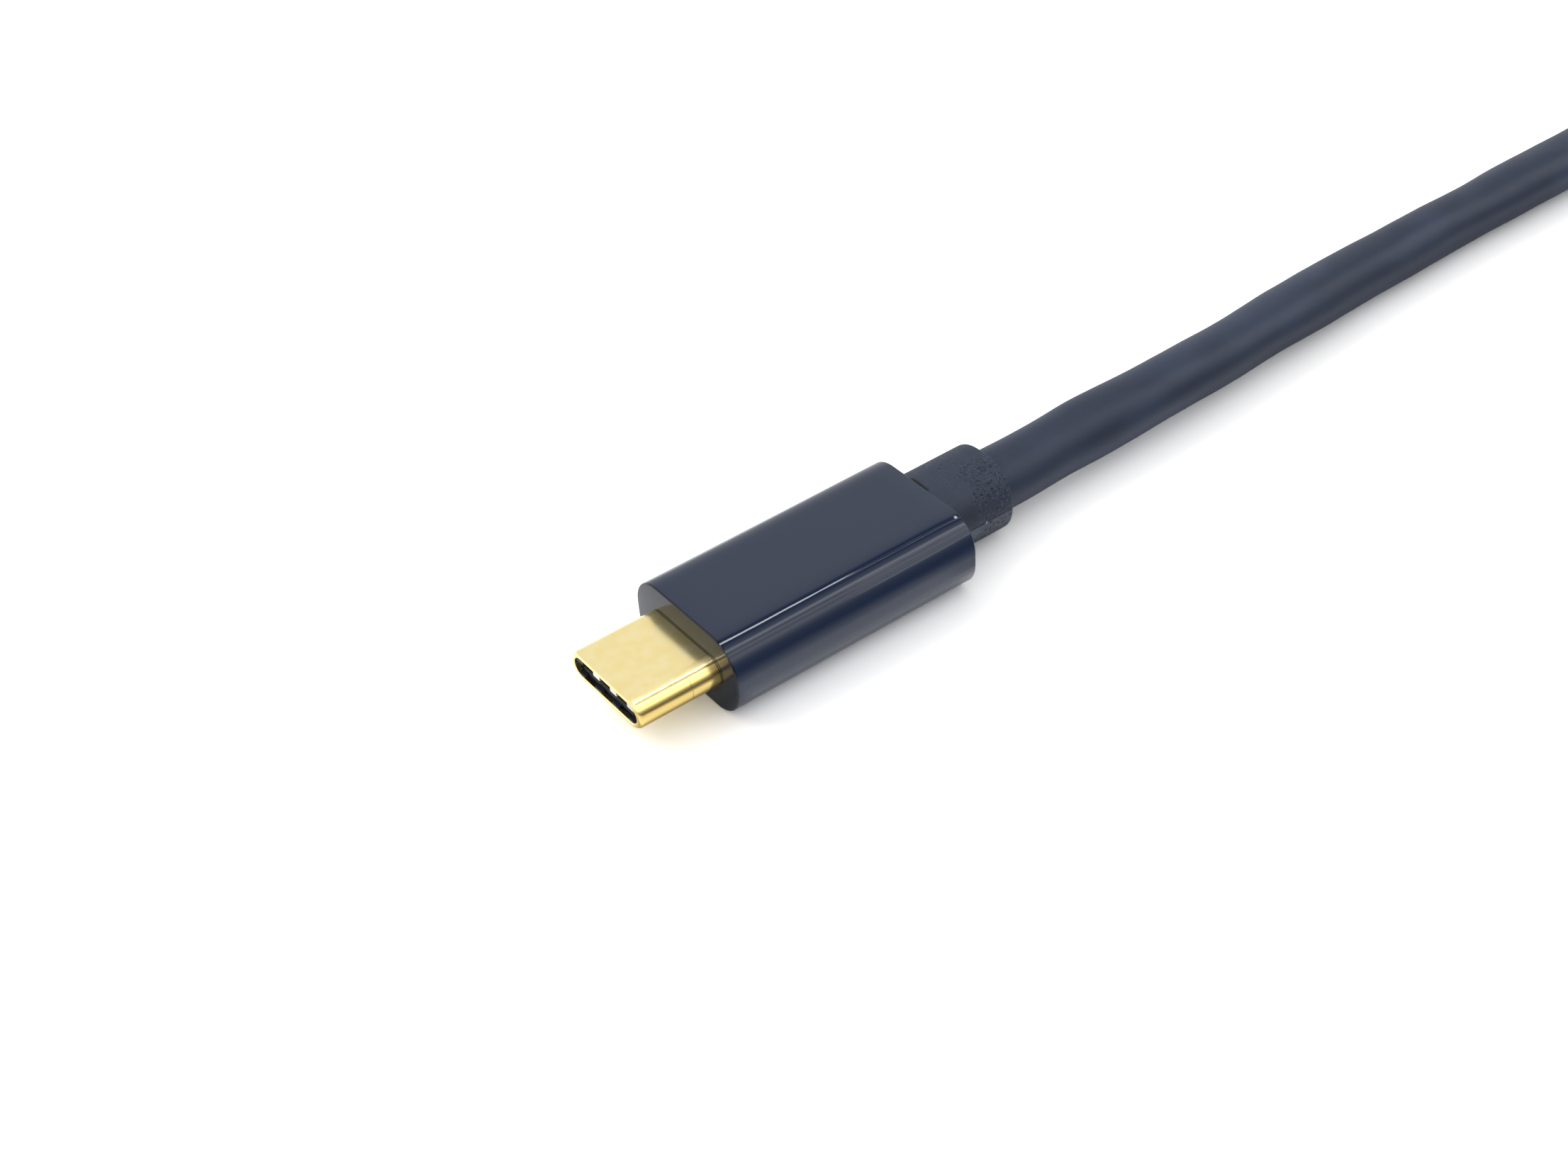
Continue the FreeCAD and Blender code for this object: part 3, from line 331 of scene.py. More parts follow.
class Nodes:
    """A node tree that is filled by one method for every kind of node."""

    def __init__(self, tree):
        self.tree = tree

    def node(self, kind, settings=None, values=None, output=0):
        """One node, its settings made first, and the output that is wanted of it."""
        made = self.tree.nodes.new(kind)
        for key, value in (settings or {}).items():
            if key == "stops":
                self.set_stops(made.color_ramp, value)
            else:
                setattr(made, key, value)
        for key, value in (values or {}).items():
            self.feed(value, made.inputs[key])
        return Socket(self, made.outputs[output])

    def set_stops(self, ramp, stops):
        """A ramp sorts its stops when they move, so their shades follow in a second round."""
        while len(ramp.elements) < len(stops):
            ramp.elements.new(1.0)
        for element, (place, _) in zip(ramp.elements, stops):
            element.position = place
        for element, (_, shade) in zip(ramp.elements, stops):
            element.color = (*shade, 1.0)

    def feed(self, value, target):
        """A link from a socket, or else a plain value."""
        if isinstance(value, Socket):
            self.tree.links.new(value.output, target)
        else:
            target.default_value = value

    def place(self, scale=(1, 1, 1), shift=(0, 0, 0)):
        """The place on the object, stretched or moved if need be."""
        where = self.node("ShaderNodeTexCoord", output="Object")
        if scale == (1, 1, 1) and shift == (0, 0, 0):
            return where
        return self.node("ShaderNodeMapping", {},
                         {"Vector": where, "Scale": scale, "Location": shift})

    def axes(self):
        """The place on the object as X, Y and Z."""
        where = self.place()
        return [where.part(axis) for axis in "XYZ"]

    def ray(self, label):
        """1 for one kind of ray, as Light Path names it."""
        return self.node("ShaderNodeLightPath", output=label)

    def seen_directly(self):
        """1 for what the camera sees by itself or through glass."""
        return self.ray("Is Camera Ray").math("MAXIMUM", self.ray("Is Transmission Ray"))

    def noise(self, size, detail=2.0, where=None):
        """Soft noise whose spots are about a given size across, in metres."""
        return self.node("ShaderNodeTexNoise", {},
                         {"Vector": where or self.place(), "Scale": 1.0 / size,
                          "Detail": detail}, "Fac")

    def specks(self, spacing, radius, where=None):
        """1 inside small round specks at random places, a spacing apart."""
        cell = self.node("ShaderNodeTexVoronoi", {"feature": "F1"},
                         {"Vector": where or self.place(), "Scale": 1.0 / spacing}, "Distance")
        return cell.step(radius / spacing, 0.4 * radius / spacing)

    def levels(self, value, table):
        """The level that a table of places and levels gives for a value."""
        start, end = table[0][0], table[-1][0]
        top = max(level for _, level in table)
        stops = [((place - start) / (end - start), (level / top,) * 3) for place, level in table]
        share = (value - start) * (1 / (end - start))
        shade = self.node("ShaderNodeValToRGB", {"stops": stops}, {"Fac": share}, "Color")
        return self.node("ShaderNodeSeparateColor", {}, {"Color": shade}, "Red") * top

    def mix(self, share, one, other):
        """A share of the other colour over the one; 6 and 7 are Mix's colour sockets."""
        one, other = (c if isinstance(c, Socket) else (*c, 1.0) for c in (one, other))
        return self.node("ShaderNodeMix", {"data_type": "RGBA"},
                         {"Factor": share, 6: one, 7: other}, 2)

    def layered(self, color, layers):
        """A colour under layers of others, each with its share, the last on top."""
        for share, over in layers:
            color = self.mix(share, color, over)
        return color


class Paint(Nodes):
    """One Principled material."""

    def __init__(self, name, color, roughness, **sockets):
        self.material = bpy.data.materials.new(name)
        self.material.use_nodes = True
        super().__init__(self.material.node_tree)
        self.shader = self.tree.nodes["Principled BSDF"]
        self.put("Base Color", (*color, 1.0))
        self.put("Roughness", roughness)
        for label, value in sockets.items():
            self.put(label, value)

    def put(self, label, value):
        """A value or a link for one of the shader's sockets."""
        self.feed(value, self.shader.inputs[label])

    def bump(self, height, distance, strength):
        """The surface's small relief; height counts in units of the distance."""
        self.put("Normal", self.node("ShaderNodeBump", {},
                                     {"Height": height, "Distance": distance,
                                      "Strength": strength}, "Normal"))


def gold_plate():
    """Polished gold, cloudy from the drawing, with a painted deeper tone over the near side as
    shade, painted shade in the gap before the sleeve, and a short dark lap on the near side."""
    paint = Paint("gold_plate", (0.95, 0.79, 0.40), 0.22, Metallic=1.0)
    x, y, z = paint.axes()
    cloud = paint.noise(0.9 * MM, detail=3.0)
    streaks = paint.noise(0.22 * MM, where=paint.place(scale=(0.08, 1, 1)))
    side = y.step(-3.2 * MM, -3.8 * MM)
    edge = y.bell(-3.05 * MM, 0.45 * MM) * z.step(3.8 * MM, 4.1 * MM)
    gap = x.bell(SHELL_GAP_SHADE, 0.065 * MM)
    lap = x.bell(SHELL_LAP, 0.05 * MM) * y.step(-3.3 * MM, -3.6 * MM)
    tint = paint.mix(cloud.step(0.35, 0.68), (0.965, 0.80, 0.375), (0.98, 0.84, 0.45))
    paint.put("Base Color", paint.layered(tint, [
        # Painted shade: the near side is given a deeper gold than the rest.
        (side * 0.85, (0.965, 0.71, 0.235)),
        # Painted shade in the gap before the sleeve; the lap beside it is a dark seam of its
        # own.
        (gap.math("MAXIMUM", 0.5 * lap), (0.035, 0.025, 0.012))]))
    paint.put("Roughness", 0.15 + 0.07 * cloud + 0.05 * streaks + 0.17 * edge)
    paint.bump(0.3 * cloud + 0.08 * streaks - gap - lap, 0.01 * MM, 0.5)
    return paint.material


def gap_shade(y):
    """1 where painted shade darkens the gap between the sleeve and the relief, near the middle.
    """
    return y.bell(0.25 * MM, 1.2 * MM).step(0.0, 0.3)


def navy_gloss():
    """Hard shiny plastic, nearly a mirror, faintly wavy from the mould. It has a painted dark
    reflection round its front edge, painted shade at the gap behind, and a painted highlight
    on a small bump near its rear."""
    paint = Paint("navy_gloss", (0.0155, 0.0265, 0.060), 0.035, IOR=1.45)
    x, y, _ = paint.axes()
    wave = paint.noise(2.6 * MM, detail=1.0, where=paint.place(scale=(0.35, 1, 1)))
    fine = paint.noise(0.32 * MM, where=paint.place(scale=(0.05, 1, 1)))
    sides = y.math("ABSOLUTE").step(3.1 * MM, 3.8 * MM)
    dust = paint.specks(2.3 * MM, 0.09 * MM)
    # Painted dark reflection along the front rim.
    front = x.bell(MOUTH_X + SLEEVE_START + 0.06 * MM, 0.14 * MM)
    # Painted shade in the gap between the sleeve and the relief.
    rear = x.step(MOUTH_X + SLEEVE_END - 0.14 * MM, MOUTH_X + SLEEVE_END) * gap_shade(y)
    # A small bump at the rear corner, painted pale as a highlight.
    pale_spot = paint.place().spot(SLEEVE_GLINT, 0.17 * MM)
    skin = paint.mix(paint.noise(6 * MM), (0.0148, 0.0254, 0.0575), (0.0163, 0.0278, 0.0625))
    paint.put("Base Color", paint.layered(skin, [
        # Painted dark reflection on the front rim, and painted shade in the gap behind.
        ((front * 0.9).math("MAXIMUM", rear), (0.002, 0.003, 0.006)),
        (pale_spot, (0.55, 0.58, 0.62))]))
    paint.bump(wave + 0.5 * fine * sides + 0.3 * dust + pale_spot, 0.012 * MM, 0.5)
    return paint.material


def navy_matte():
    """Spark-eroded plastic, worn in patches of pits and light flecks, most at the plug
    relief's rear and far side. The mould's parting line runs along that relief's near
    side, which has painted shade over the line and painted light under it."""
    paint = Paint("navy_matte", (0.0225, 0.0315, 0.0545), 0.5, IOR=1.45)
    x, y, z = paint.axes()
    grain = paint.noise(0.11 * MM, detail=3.0)
    patches = paint.noise(1.5 * MM, detail=3.0)
    rear = x.step(MOUTH_X + 29.3 * MM, MOUTH_X + 31.4 * MM) * y.step(0.8 * MM, -1.6 * MM)
    far = y.step(1.3 * MM, 2.3 * MM)
    worn = (patches * 0.85 + 0.6 * rear + 0.55 * far).step(0.44, 0.7)
    coarse, fine = paint.specks(0.38 * MM, 0.145 * MM), paint.specks(0.2 * MM, 0.075 * MM)
    pits = coarse.math("MAXIMUM", fine) * worn
    flecks = paint.specks(0.28 * MM, 0.1 * MM, paint.place(shift=(0.4, 0.7, 0.2))) * worn
    near = y.step(-2.75 * MM, -3.1 * MM)
    # Painted light on the near side under the parting line.
    under = near * z.step(3.05 * MM, 2.85 * MM)
    # Painted shade on the near side over the parting line.
    over = y.step(-2.3 * MM, -3.1 * MM) * z.step(3.1 * MM, 3.4 * MM) * z.step(5.6 * MM, 4.9 * MM)
    parting = near * z.bell(PARTING_HEIGHT, 0.09 * MM) \
        * x.step(MOUTH_X + 28.4 * MM, MOUTH_X + 29.6 * MM)
    # Painted shade in the gap behind the sleeve, on the relief's top.
    gap = x.bell(MOUTH_X + SLEEVE_END + 0.05 * MM, 0.2 * MM) * gap_shade(y) \
        * z.step(5.7 * MM, 6.1 * MM)
    pale_spot = paint.place().spot(RELIEF_NICK, 0.14 * MM)
    skin = paint.mix(patches, (0.0205, 0.0295, 0.055), (0.025, 0.0355, 0.0645))
    paint.put("Base Color", paint.layered(skin, [
        (over * 0.3, (0.009, 0.016, 0.036)),
        (under * 0.85, (0.094, 0.110, 0.152)),
        (worn * 0.25, (0.026, 0.040, 0.082)),
        (flecks * 0.8, (0.066, 0.082, 0.122)),
        (pits * 0.9, (0.003, 0.005, 0.011)),
        # The parting line is a dark seam; the gap beside it is painted shade.
        ((parting * 0.8).math("MAXIMUM", gap), (0.002, 0.003, 0.005)),
        (pale_spot, (0.32, 0.34, 0.38))]))
    paint.put("Roughness", 0.45 + 0.2 * grain)
    height = grain * (0.6 + 0.5 * worn) + patches * 0.4 + flecks - pits * 1.8 - parting
    paint.bump(height, 0.05 * MM, 0.7)
    return paint.material


def navy_jacket():
    """Satin jacket, its gloss and shade uneven where it was drawn over the wires."""
    paint = Paint("navy_jacket", (0.0205, 0.0325, 0.064), 0.48, IOR=1.45)
    skin = paint.noise(0.3 * MM)
    cloud = paint.noise(4.5 * MM, where=paint.place(scale=(0.45, 1, 1)))
    paint.put("Base Color", paint.mix(cloud.step(0.40, 0.62), (0.0145, 0.024, 0.052),
                                      (0.0245, 0.038, 0.075)))
    paint.put("Roughness", 0.44 + 0.1 * skin)
    paint.bump(skin + 3.0 * cloud, 0.01 * MM, 0.6)
    return paint.material


def worked_metal(name, color, roughness, grain=0.3 * MM):
    """Rolled or stamped sheet with a faint grain along X."""
    paint = Paint(name, color, roughness, Metallic=1.0)
    lines = paint.noise(grain, where=paint.place(scale=(0.1, 1, 1)))
    paint.put("Roughness", roughness - 0.06 + 0.12 * lines)
    paint.put("Base Color", paint.mix(lines, tuple(0.94 * c for c in color), color))
    paint.bump(lines, 0.006 * MM, 0.4)
    return paint.material


def spring_steel():
    """Bright spring strip, painted dark as shade at the mouth's far end."""
    bright, painted_shade = (0.93, 0.92, 0.90), (0.04, 0.045, 0.06)
    paint = Paint("spring_steel", bright, 0.5, Metallic=1.0)
    _, y, _ = paint.axes()
    # Painted shade over the tabs at the mouth's far end.
    paint.put("Base Color", paint.mix(y.step(1.9 * MM, 2.5 * MM), bright, painted_shade))
    return paint.material


def moulded(name, color, roughness, grain=0.12 * MM):
    """Plain moulded plastic with a fine texture."""
    paint = Paint(name, color, roughness, IOR=1.5)
    texture = paint.noise(grain, detail=3.0)
    paint.put("Base Color", paint.mix(texture, tuple(0.85 * c for c in color), color))
    paint.put("Roughness", roughness - 0.05 + 0.1 * texture)
    paint.bump(texture, 0.02 * MM, 0.4)
    return paint.material


def circuit_board():
    """Green solder mask over copper tracks."""
    paint = Paint("circuit_board", (0.012, 0.10, 0.045), 0.3)
    tracks = paint.node("ShaderNodeTexBrick", {"offset": 0.4},
                        {"Vector": paint.place(), "Scale": 420.0, "Mortar Size": 0.06}, "Fac")
    paint.put("Base Color", paint.mix(tracks, (0.010, 0.085, 0.038), (0.025, 0.16, 0.07)))
    paint.bump(tracks, 0.02 * MM, 0.4)
    return paint.material


def woven_braid():
    """Bundles of tinned wire."""
    paint = Paint("braid", (0.62, 0.62, 0.62), 0.4, Metallic=1.0)
    bundles = paint.node("ShaderNodeTexWave", {},
                         {"Vector": paint.place(), "Scale": 900.0, "Distortion": 1.0}, "Fac")
    paint.put("Base Color", paint.mix(bundles, (0.35, 0.35, 0.35), (0.68, 0.68, 0.67)))
    paint.bump(bundles, 0.03 * MM, 0.6)
    return paint.material


def slot_materials():
    """One material for each slot of the record."""
    return {
        "gold_plate": gold_plate(),
        "contact_gold": worked_metal("contact_gold", (0.90, 0.68, 0.30), 0.25, 0.08 * MM),
        "spring_steel": spring_steel(),
        "tinned_steel": worked_metal("tinned_steel", (0.72, 0.72, 0.71), 0.30),
        "black_plastic": moulded("black_plastic", (0.006, 0.007, 0.009), 0.46),
        "circuit_board": circuit_board(),
        "ceramic_part": moulded("ceramic_part", (0.32, 0.23, 0.15), 0.5, 0.1 * MM),
        "braid": woven_braid(),
        "wire_insulation": moulded("wire_insulation", (0.6, 0.6, 0.58), 0.4),
        "inner_plastic": moulded("inner_plastic", (0.72, 0.72, 0.70), 0.5),
        "navy_gloss": navy_gloss(),
        "navy_matte": navy_matte(),
        "navy_jacket": navy_jacket(),
    }


# Rows of contacts

def row_maker():
    """A tree that repeats a piece in a straight row along Y."""
    tree = bpy.data.node_groups.new("row_of_pieces", "GeometryNodeTree")
    labels = {"Geometry": "Geometry", "Count": "Int", "Pitch": "Float", "Finish": "Material"}
    for label, kind in labels.items():
        tree.interface.new_socket(label, in_out="INPUT", socket_type="NodeSocket" + kind)
    tree.interface.new_socket("Geometry", in_out="OUTPUT", socket_type="NodeSocketGeometry")
    row = Nodes(tree)
    given = tree.nodes.new("NodeGroupInput")
    piece, count, pitch, finish = (Socket(row, given.outputs[label]) for label in labels)
    gap = row.node("ShaderNodeCombineXYZ", {}, {"Y": pitch})
    start = row.node("ShaderNodeCombineXYZ", {}, {"Y": (count - 1.0) * pitch * -0.5})
    line = row.node("GeometryNodeMeshLine", {},
                    {"Count": count, "Start Location": start, "Offset": gap})
    copies = row.node("GeometryNodeInstanceOnPoints", {}, {"Points": line, "Instance": piece})
    real = row.node("GeometryNodeRealizeInstances", {}, {"Geometry": copies})
    done = row.node("GeometryNodeSetMaterial", {}, {"Geometry": real, "Material": finish})
    tree.links.new(done.output, tree.nodes.new("NodeGroupOutput").inputs[0])
    return tree


def row_of(piece, count, pitch, middle, material):
    """The piece's mesh, repeated by the row tree about a middle and made plain again."""
    maker = piece.modifiers.new("row", "NODES")
    maker.node_group = ROW
    ids = {s.name: s.identifier for s in ROW.interface.items_tree if s.in_out == "INPUT"}
    maker[ids["Count"]], maker[ids["Pitch"]], maker[ids["Finish"]] = count, pitch, material
    seen = piece.evaluated_get(bpy.context.evaluated_depsgraph_get())
    mesh = bpy.data.meshes.new_from_object(seen)
    piece.modifiers.remove(maker)
    piece.data = mesh
    mesh.transform(Matrix.Translation((0, middle, 0)))
    return finish_surface(piece, material)


def strip(name, outline, width, offset, material):
    """A flat outline in X and Z with a width across Y and softened edges."""
    count = len(outline)
    points = [Vector((x, side * width / 2, z)) + Vector(offset)
              for side in (-1, 1) for x, z in outline]
    faces = [tuple(range(count)), tuple(range(2 * count - 1, count - 1, -1))]
    faces += quads_between(0, count, count)
    piece = mesh_piece(name, points, faces, material)
    with opened(piece.data) as work:
        bmesh.ops.bevel(work, geom=work.edges[:], offset=0.02 * MM, segments=2,
                        affect="EDGES", profile=0.5, clamp_overlap=True)
    return finish_surface(piece, material)


def plug_contacts(side):
    """Twelve sprung strips, each with a raised touching point near the mouth; sizes in mm
    from the mouth and from the plug's middle plane."""
    tip, touching, bend = 1.1, 1.9, 9.0
    under, touch, tail, thick = (side * v for v in (0.575, 0.33, 0.4, 0.15))
    top = under + thick
    outline = [(tip, under + thick / 4)]
    outline += [(touching + 0.2 * k, touch + thick / 12 * k * k) for k in range(-2, 3)]
    outline += [(tip + 2.3, under), (bend - 0.1, under), (bend + 0.15, tail),
                (bend + 1.3, tail), (bend + 1.3, tail + thick), (bend + 0.24, tail + thick),
                (bend - 0.01, top), (tip + 2.2, top)]
    outline += [(touching + 0.35 * k, touch + thick * (1 + k * k / 3)) for k in (1, 0, -1)]
    outline += [(tip + 0.12, top)]
    piece = strip("plug_contacts_" + ROW_NAME[side], [(x * MM, z * MM) for x, z in outline],
                  PLUG_CONTACT_WIDTH, (MOUTH_X, 0, PLUG_AXIS), paints["contact_gold"])
    return row_of(piece, PLUG_CONTACTS, PLUG_PITCH, 0, paints["contact_gold"])


def receptacle_pins(node, count):
    """Pins that lie in the tongue, pass the block and turn down to the board."""
    low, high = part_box(node)
    thick, foot = 0.2 * MM, 0.9 * MM
    heel, top, sole = low[0] + foot, high[2], low[2]
    outline = [(high[0], top - thick), (high[0], top), (heel - thick, top),
               (heel - thick, sole + thick), (low[0], sole + thick), (low[0], sole),
               (heel, sole), (heel, top - thick)]
    piece = strip(node.replace("contacts", "pins"), outline, PIN_WIDTH, (0, 0, 0),
                  paints["contact_gold"])
    return row_of(piece, count, PIN_PITCH, (low[1] + high[1]) / 2, paints["contact_gold"])


# The plug's outer pieces

def plug_sleeve():
    """The glossy sleeve, open behind, with a front wall that the shell comes through."""
    wall = SLEEVE_START + SLEEVE_FRONT
    inside = inset(SLEEVE_PROFILE, SLEEVE_WALL)
    rings = rings_at([(SLEEVE_START, SHELL_PROFILE)])
    rings += edge_rings(SLEEVE_START, 1, SLEEVE_PROFILE, SLEEVE_EDGE)
    rings += straight_rings(SLEEVE_START + SLEEVE_EDGE, SLEEVE_END - SLEEVE_EDGE,
                            SLEEVE_PROFILE, steps=12)
    rings += edge_rings(SLEEVE_END, -1, SLEEVE_PROFILE, SLEEVE_EDGE)[::-1]
    rings += rings_at([(SLEEVE_END, inside), (wall, inside), (wall, SHELL_PROFILE)])
    return loft("plug_sleeve", rings, paints["navy_gloss"], (MOUTH_X, 0, PLUG_AXIS))


def plug_shell():
    """The drawn shell with its rolled lip, its round sides in finer steps than the rest."""
    cavity, opening = inset(SHELL_PROFILE, SHELL_WALL), inset(SHELL_PROFILE, LIP_TURN_IN)
    round_side = SHELL_CORNER_STEPS
    rings = edge_rings(0, 1, SHELL_PROFILE, LIP_RADIUS, 8, round_side)
    rings += straight_rings(LIP_RADIUS, SHELL_END, SHELL_PROFILE, 8, round_side)
    rings += rings_at([(SHELL_END, SHELL_PROFILE), (SHELL_END, cavity), (LIP_THICKNESS, cavity),
                       (LIP_THICKNESS, opening), (LIP_BREAK, opening)], round_side)
    return loft("plug_shell", rings, paints["gold_plate"], (MOUTH_X, 0, PLUG_AXIS))


def plug_relief():
    """Soft relief, a little off the plug's middle, on the flange that holds it."""
    bore, core = round_profile(CABLE_DIAMETER), round_profile(CORE_DIAMETER)
    flange = inset(SLEEVE_PROFILE, SLEEVE_WALL)
    rings = edge_rings(SLEEVE_END, 1, RELIEF_PROFILE, RELIEF_FOOT, steps=4)
    rings += straight_rings(SLEEVE_END + RELIEF_FOOT, PLUG_LENGTH - RELIEF_EDGE,
                            RELIEF_PROFILE, steps=10)
    rings += edge_rings(PLUG_LENGTH, -1, RELIEF_PROFILE, RELIEF_EDGE, steps=8)[::-1]
    rings += rings_at([(PLUG_LENGTH, bore), (SLEEVE_END, bore)])
    hidden = rings_at([(RELIEF_START, flange), (SLEEVE_END, flange), (SLEEVE_END, bore),
                       (JACKET_START, bore), (JACKET_START, core), (RELIEF_START, core)])
    stub = loft("plug_relief", rings, paints["navy_matte"], (MOUTH_X, RELIEF_OFFSET, PLUG_AXIS))
    held = loft("plug_relief_flange", hidden, paints["navy_matte"], (MOUTH_X, 0, PLUG_AXIS))
    return merged(stub, held)


# The cable

def cable_line():
    """The route as a smooth curve, read back as points."""
    curve = bpy.data.curves.new("cable_line", "CURVE")
    curve.dimensions = "3D"
    spline = curve.splines.new("NURBS")
    spline.points.add(len(CABLE_ROUTE) - 1)
    for point, (x, y, z) in zip(spline.points, CABLE_ROUTE):
        point.co = (x * MM + MOUTH_X, y * MM, z * MM, 1.0)
    spline.order_u = 3
    spline.use_endpoint_u = True
    curve.resolution_u = 24
    line = placed("cable_line", curve)
    mesh = bpy.data.meshes.new_from_object(line)
    points = [v.co.copy() for v in mesh.vertices]
    bpy.data.objects.remove(line)
    return points


def even_points(points, step):
    """The same line with points a step apart."""
    even, carry = [points[0]], 0.0
    for a, b in zip(points, points[1:]):
        length = (b - a).length
        at = step - carry
        while at <= length:
            even.append(a.lerp(b, at / length))
            at += step
        carry = (carry + length) % step
    even.append(points[-1])
    return even


def jacket_swell(along, turn):
    """How far the jacket stands proud or shy at a place along it and round it. The slow and
    the lobed swell sit low, so that it is no thicker than the solid on the whole."""
    y, z = math.cos(turn), math.sin(turn)
    full = max(0.0, 1 - along / FULL_LENGTH)
    slow = noise.noise(Vector((along / SLOW_LENGTH, 0.55 * y, 0.55 * z))) - 0.1
    quick = noise.noise(Vector((along / QUICK_LENGTH + 40, y, z)))
    lobe = math.cos(2 * turn - 2 * math.pi * along / LOBE_LENGTH) - 0.6
    return FULL_SWELL * full + SLOW_SWELL * slow + QUICK_SWELL * quick + LOBE_SWELL * lobe


def cable_jacket():
    """The jacket along the route, closed at both ends, and the points of its middle."""
    points = even_points(cable_line(), JACKET_STEP)
    around, count = JACKET_AROUND, len(points)
    verts, along = [], 0.0
    for i, p in enumerate(points):
        before, after = points[max(i - 1, 0)], points[min(i + 1, count - 1)]
        ahead = (after - before).normalized()
        side = Vector((0, 0, 1)).cross(ahead).normalized()
        up = ahead.cross(side)
        along += (p - before).length
        fade = min(1.0, along / SWELL_STARTS_OVER)
        for k in range(around):
            turn = 2 * math.pi * k / around
            radius = CABLE_DIAMETER / 2 + fade * jacket_swell(along, turn)
            verts.append(p + (side * math.cos(turn) + up * math.sin(turn)) * radius)
    faces = [tuple(range(around)), tuple(range((count - 1) * around, count * around))]
    for i in range(count - 1):
        faces += quads_between(i * around, (i + 1) * around, around)
    return mesh_piece("cable_jacket", verts, faces, paints["navy_jacket"]), points


# Pieces in the places of the solids

def joined_copy(node):
    """A CAD node's own shape with its corners joined, so that it shades smoothly."""
    piece = placed(node.replace("usb_", "plug_") + "_smooth", frame["nodes"][node].data.copy())
    with opened(piece.data) as work:
        bmesh.ops.remove_doubles(work, verts=work.verts, dist=SOLID_HAIR)
    piece.modifiers.new("even_light", "WEIGHTED_NORMAL").keep_sharp = True
    return finish_surface(piece, paints[SLOT_OF[node]])


def stand_in(piece, node):
    """The piece takes a CAD node's place in the root body, and the node is hidden."""
    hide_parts(node)
    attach(piece, "root")
    drawn_here[node] = piece.name


# Camera, table and light

def set_camera():
    """The photograph's view: focal length and place in its own pixels."""
    ahead = Vector((-math.sin(HEADING) * math.cos(ELEVATION),
                    math.cos(HEADING) * math.cos(ELEVATION), -math.sin(ELEVATION)))
    level = Vector((math.cos(HEADING), math.sin(HEADING), 0))
    upright = level.cross(ahead)
    right = level * math.cos(ROLL) + upright * math.sin(ROLL)
    up = upright * math.cos(ROLL) - level * math.sin(ROLL)
    pixel = DISTANCE / FOCAL_PX
    aim = Vector((MOUTH_X + AIM_BEHIND_MOUTH, 0, AIM_HEIGHT))
    place = aim - ahead * DISTANCE - right * AIM_PX[0] * pixel - up * AIM_PX[1] * pixel
    data = bpy.data.cameras.new("camera")
    data.sensor_width = SENSOR_WIDTH
    data.lens = FOCAL_PX * SENSOR_WIDTH / PHOTO_WIDTH_PX
    data.clip_start, data.clip_end = 0.005, 20
    camera = placed("camera", data)
    turn = Matrix((right, up, -ahead)).transposed().to_4x4()
    camera.matrix_world = Matrix.Translation(place) @ turn
    bpy.context.scene.camera = camera


def table_in_mirror(paint):
    """The table as a mirror shows it, by its place along and beside the object."""
    x, y, _ = paint.axes()
    cable = x.step(PLUG_TO, CABLE_FROM)
    place = y * (1 / MM) - CABLE_NEARER * cable
    gold, navy = (paint.levels(place, row) for row in (TABLE_BESIDE_GOLD, TABLE_BESIDE_NAVY))
    shown = gold + (navy - gold) * x.step(GOLD_TO, NAVY_FROM)
    return shown * (1 - CABLE_DARKER * cable) * (TABLE_LIFT * TABLE_WHITE)


def table_top():
    """White table: it takes the shadows, and is full white where nothing shades it."""
    half = 3.0
    mesh = bpy.data.meshes.new("table")
    mesh.from_pydata([(-half, -half, 0), (half, -half, 0), (half, half, 0), (-half, half, 0)],
                     [], [(0, 1, 2, 3)])
    table = placed("table", mesh)
    paint = Paint("table_white", (0.92, 0.92, 0.92), 1.0, IOR=1.05)
    plain = paint.mix(paint.seen_directly(), (TABLE_WHITE,) * 3, (TABLE_LIFT * TABLE_WHITE,) * 3)
    paint.put("Base Color", paint.mix(paint.ray("Is Glossy Ray"), plain, table_in_mirror(paint)))
    mesh.materials.append(paint.material)
    table.location.z = -0.02 * MM


def window():
    """Soft light from behind on the left, which no mirror shows."""
    data = bpy.data.lights.new("window", "AREA")
    data.shape = "SQUARE"
    data.size = WINDOW_SIZE
    data.energy = WINDOW_POWER
    light = placed("window", data)
    light.location = WINDOW_PLACE
    light.rotation_euler = (-Vector(WINDOW_PLACE)).to_track_quat("-Z", "Y").to_euler()
    light.visible_glossy = False


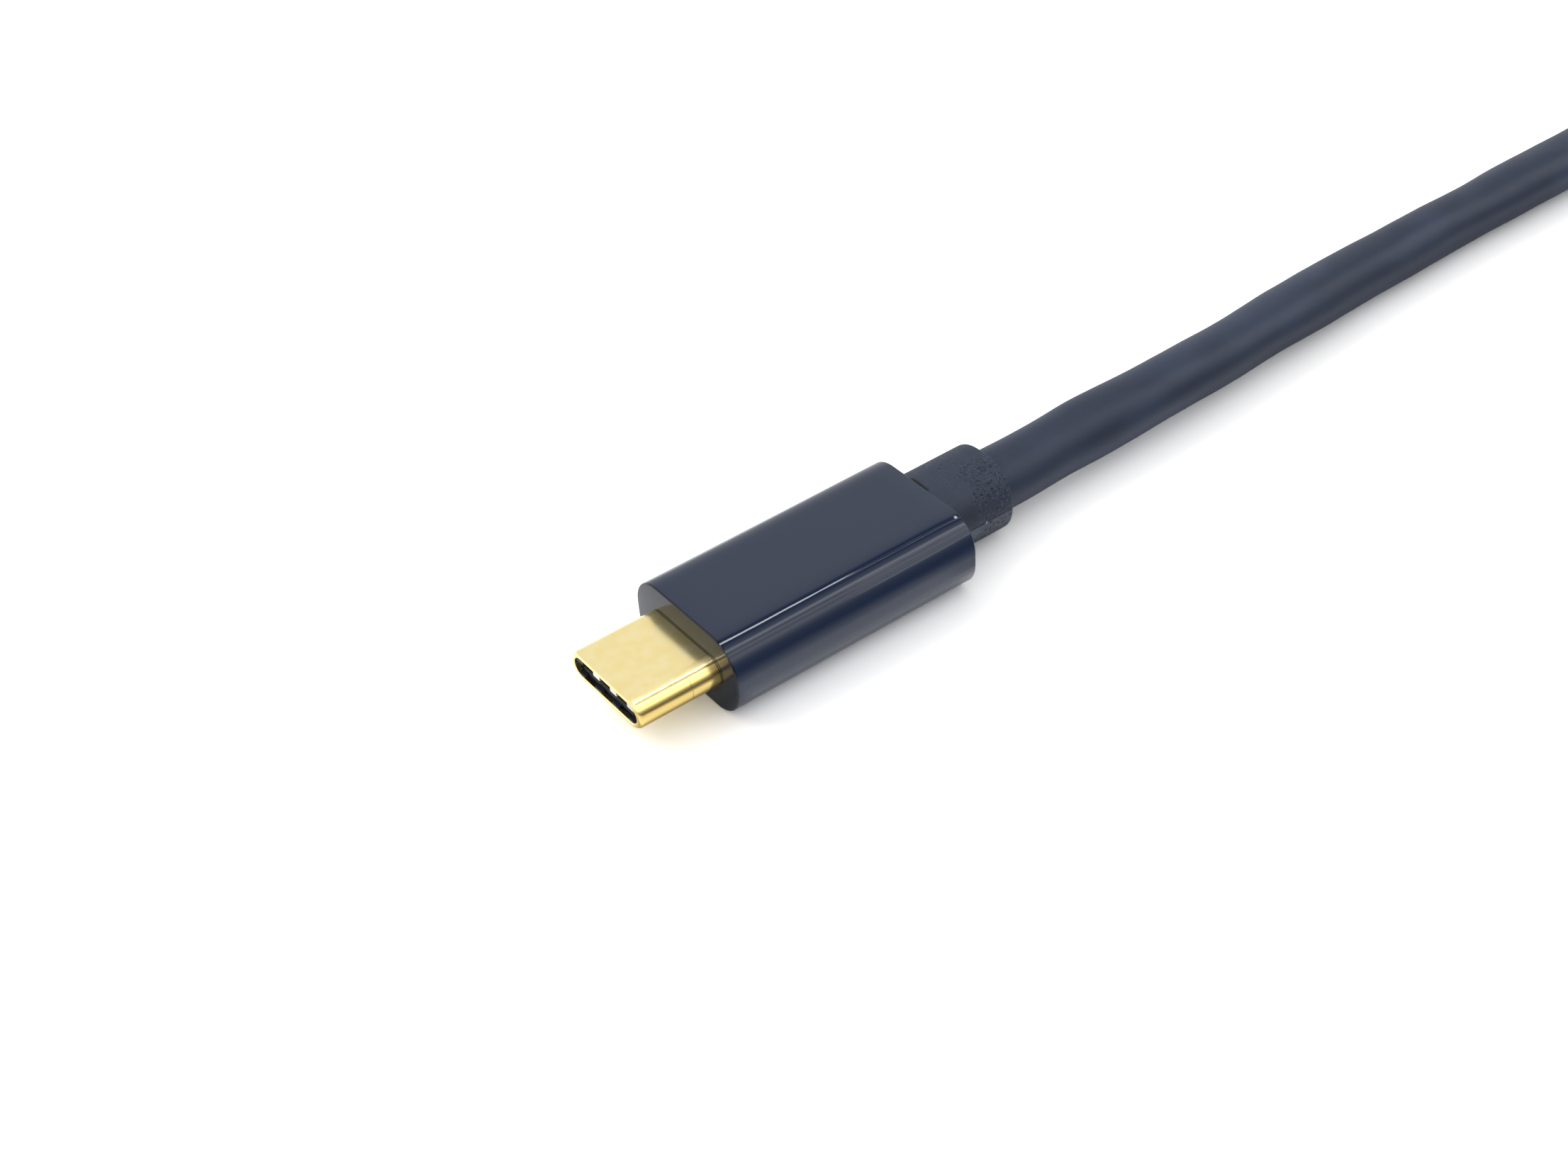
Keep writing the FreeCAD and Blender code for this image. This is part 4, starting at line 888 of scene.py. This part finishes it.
def studio():
    """The room: plain for light and for the camera, with its lamps for a mirror."""
    world = bpy.data.worlds.new("studio")
    world.use_nodes = True
    bpy.context.scene.world = world
    sky = Nodes(world.node_tree)
    way = sky.node("ShaderNodeTexCoord", output="Generated")
    height = way.part("Z").math("MAXIMUM", 0.0)
    angle = height.math("ARCTAN2", way.part("Y")) * math.degrees(1)
    beyond = way.part("X").step(TUBE_END - TUBE_END_SOFT, TUBE_END + TUBE_END_SOFT)
    tube = angle.step(TUBE_FROM - TUBE_SOFT, TUBE_FROM + TUBE_SOFT) \
        * angle.step(TUBE_TO + TUBE_SOFT, TUBE_TO - TUBE_SOFT)
    room = sky.levels(angle, ROOM) + TUBE_LEVEL * tube * (1 - beyond)
    for middle, reach, level in FAR_ROWS:
        room = room + level * angle.bell(middle, reach) * beyond
    mirrored, direct = sky.ray("Is Glossy Ray"), sky.seen_directly()
    lighting = 1 - mirrored.math("MAXIMUM", direct)
    background = world.node_tree.nodes["Background"]
    background.inputs["Color"].default_value = (1, 1, 1, 1)
    sky.feed(mirrored * room + direct + lighting * ROOM_LIGHT, background.inputs["Strength"])


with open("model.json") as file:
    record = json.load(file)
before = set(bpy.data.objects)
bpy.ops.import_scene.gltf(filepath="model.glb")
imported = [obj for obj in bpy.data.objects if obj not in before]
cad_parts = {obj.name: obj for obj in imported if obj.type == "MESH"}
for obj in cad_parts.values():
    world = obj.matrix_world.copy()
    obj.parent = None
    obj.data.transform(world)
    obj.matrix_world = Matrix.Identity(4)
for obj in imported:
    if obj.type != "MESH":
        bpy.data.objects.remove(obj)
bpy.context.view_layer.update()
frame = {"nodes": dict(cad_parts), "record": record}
SLOT_OF = {entry["node"]: entry["material_slot"] for entry in frame["record"]["subparts"]}
ROW = row_maker()
ROW_NAME = {1: "upper", -1: "lower"}
paints = slot_materials()
# Painted shade: a dark steel for the lower spring inside the mouth.
steel_in_painted_shade = worked_metal("steel_in_painted_shade", (0.085, 0.095, 0.13), 0.5, 0.1 * MM)

# Each node that a piece stands in for, with that piece's name

drawn_here = {}

bpy.context.scene.view_settings.view_transform = "Standard"
set_camera()
jacket, cable_points = cable_jacket()
stand_in(jacket, "cable")
stand_in(plug_sleeve(), "usb_sleeve")
stand_in(plug_shell(), "usb_shell")
stand_in(plug_relief(), "usb_strain_relief")
for node in ("usb_insulator", "hdmi_sleeve", "hdmi_front_plate", "hdmi_shell",
             "hdmi_insulator", "hdmi_strain_relief"):
    stand_in(joined_copy(node), node)
for side, pins in ((1, UPPER_PINS), (-1, LOWER_PINS)):
    stand_in(plug_contacts(side), "usb_contacts_" + ROW_NAME[side])
    node = "hdmi_contacts_" + ROW_NAME[side]
    stand_in(receptacle_pins(node, pins), node)
for node, item in frame["nodes"].items():
    if node not in drawn_here:
        item.data.materials.clear()
        # The lower spring inside the mouth takes the dark steel as painted shade.
        item.data.materials.append(steel_in_painted_shade if node == "usb_emi_spring_lower"
                                   else paints[SLOT_OF[node]])
table_top()
window()
studio()
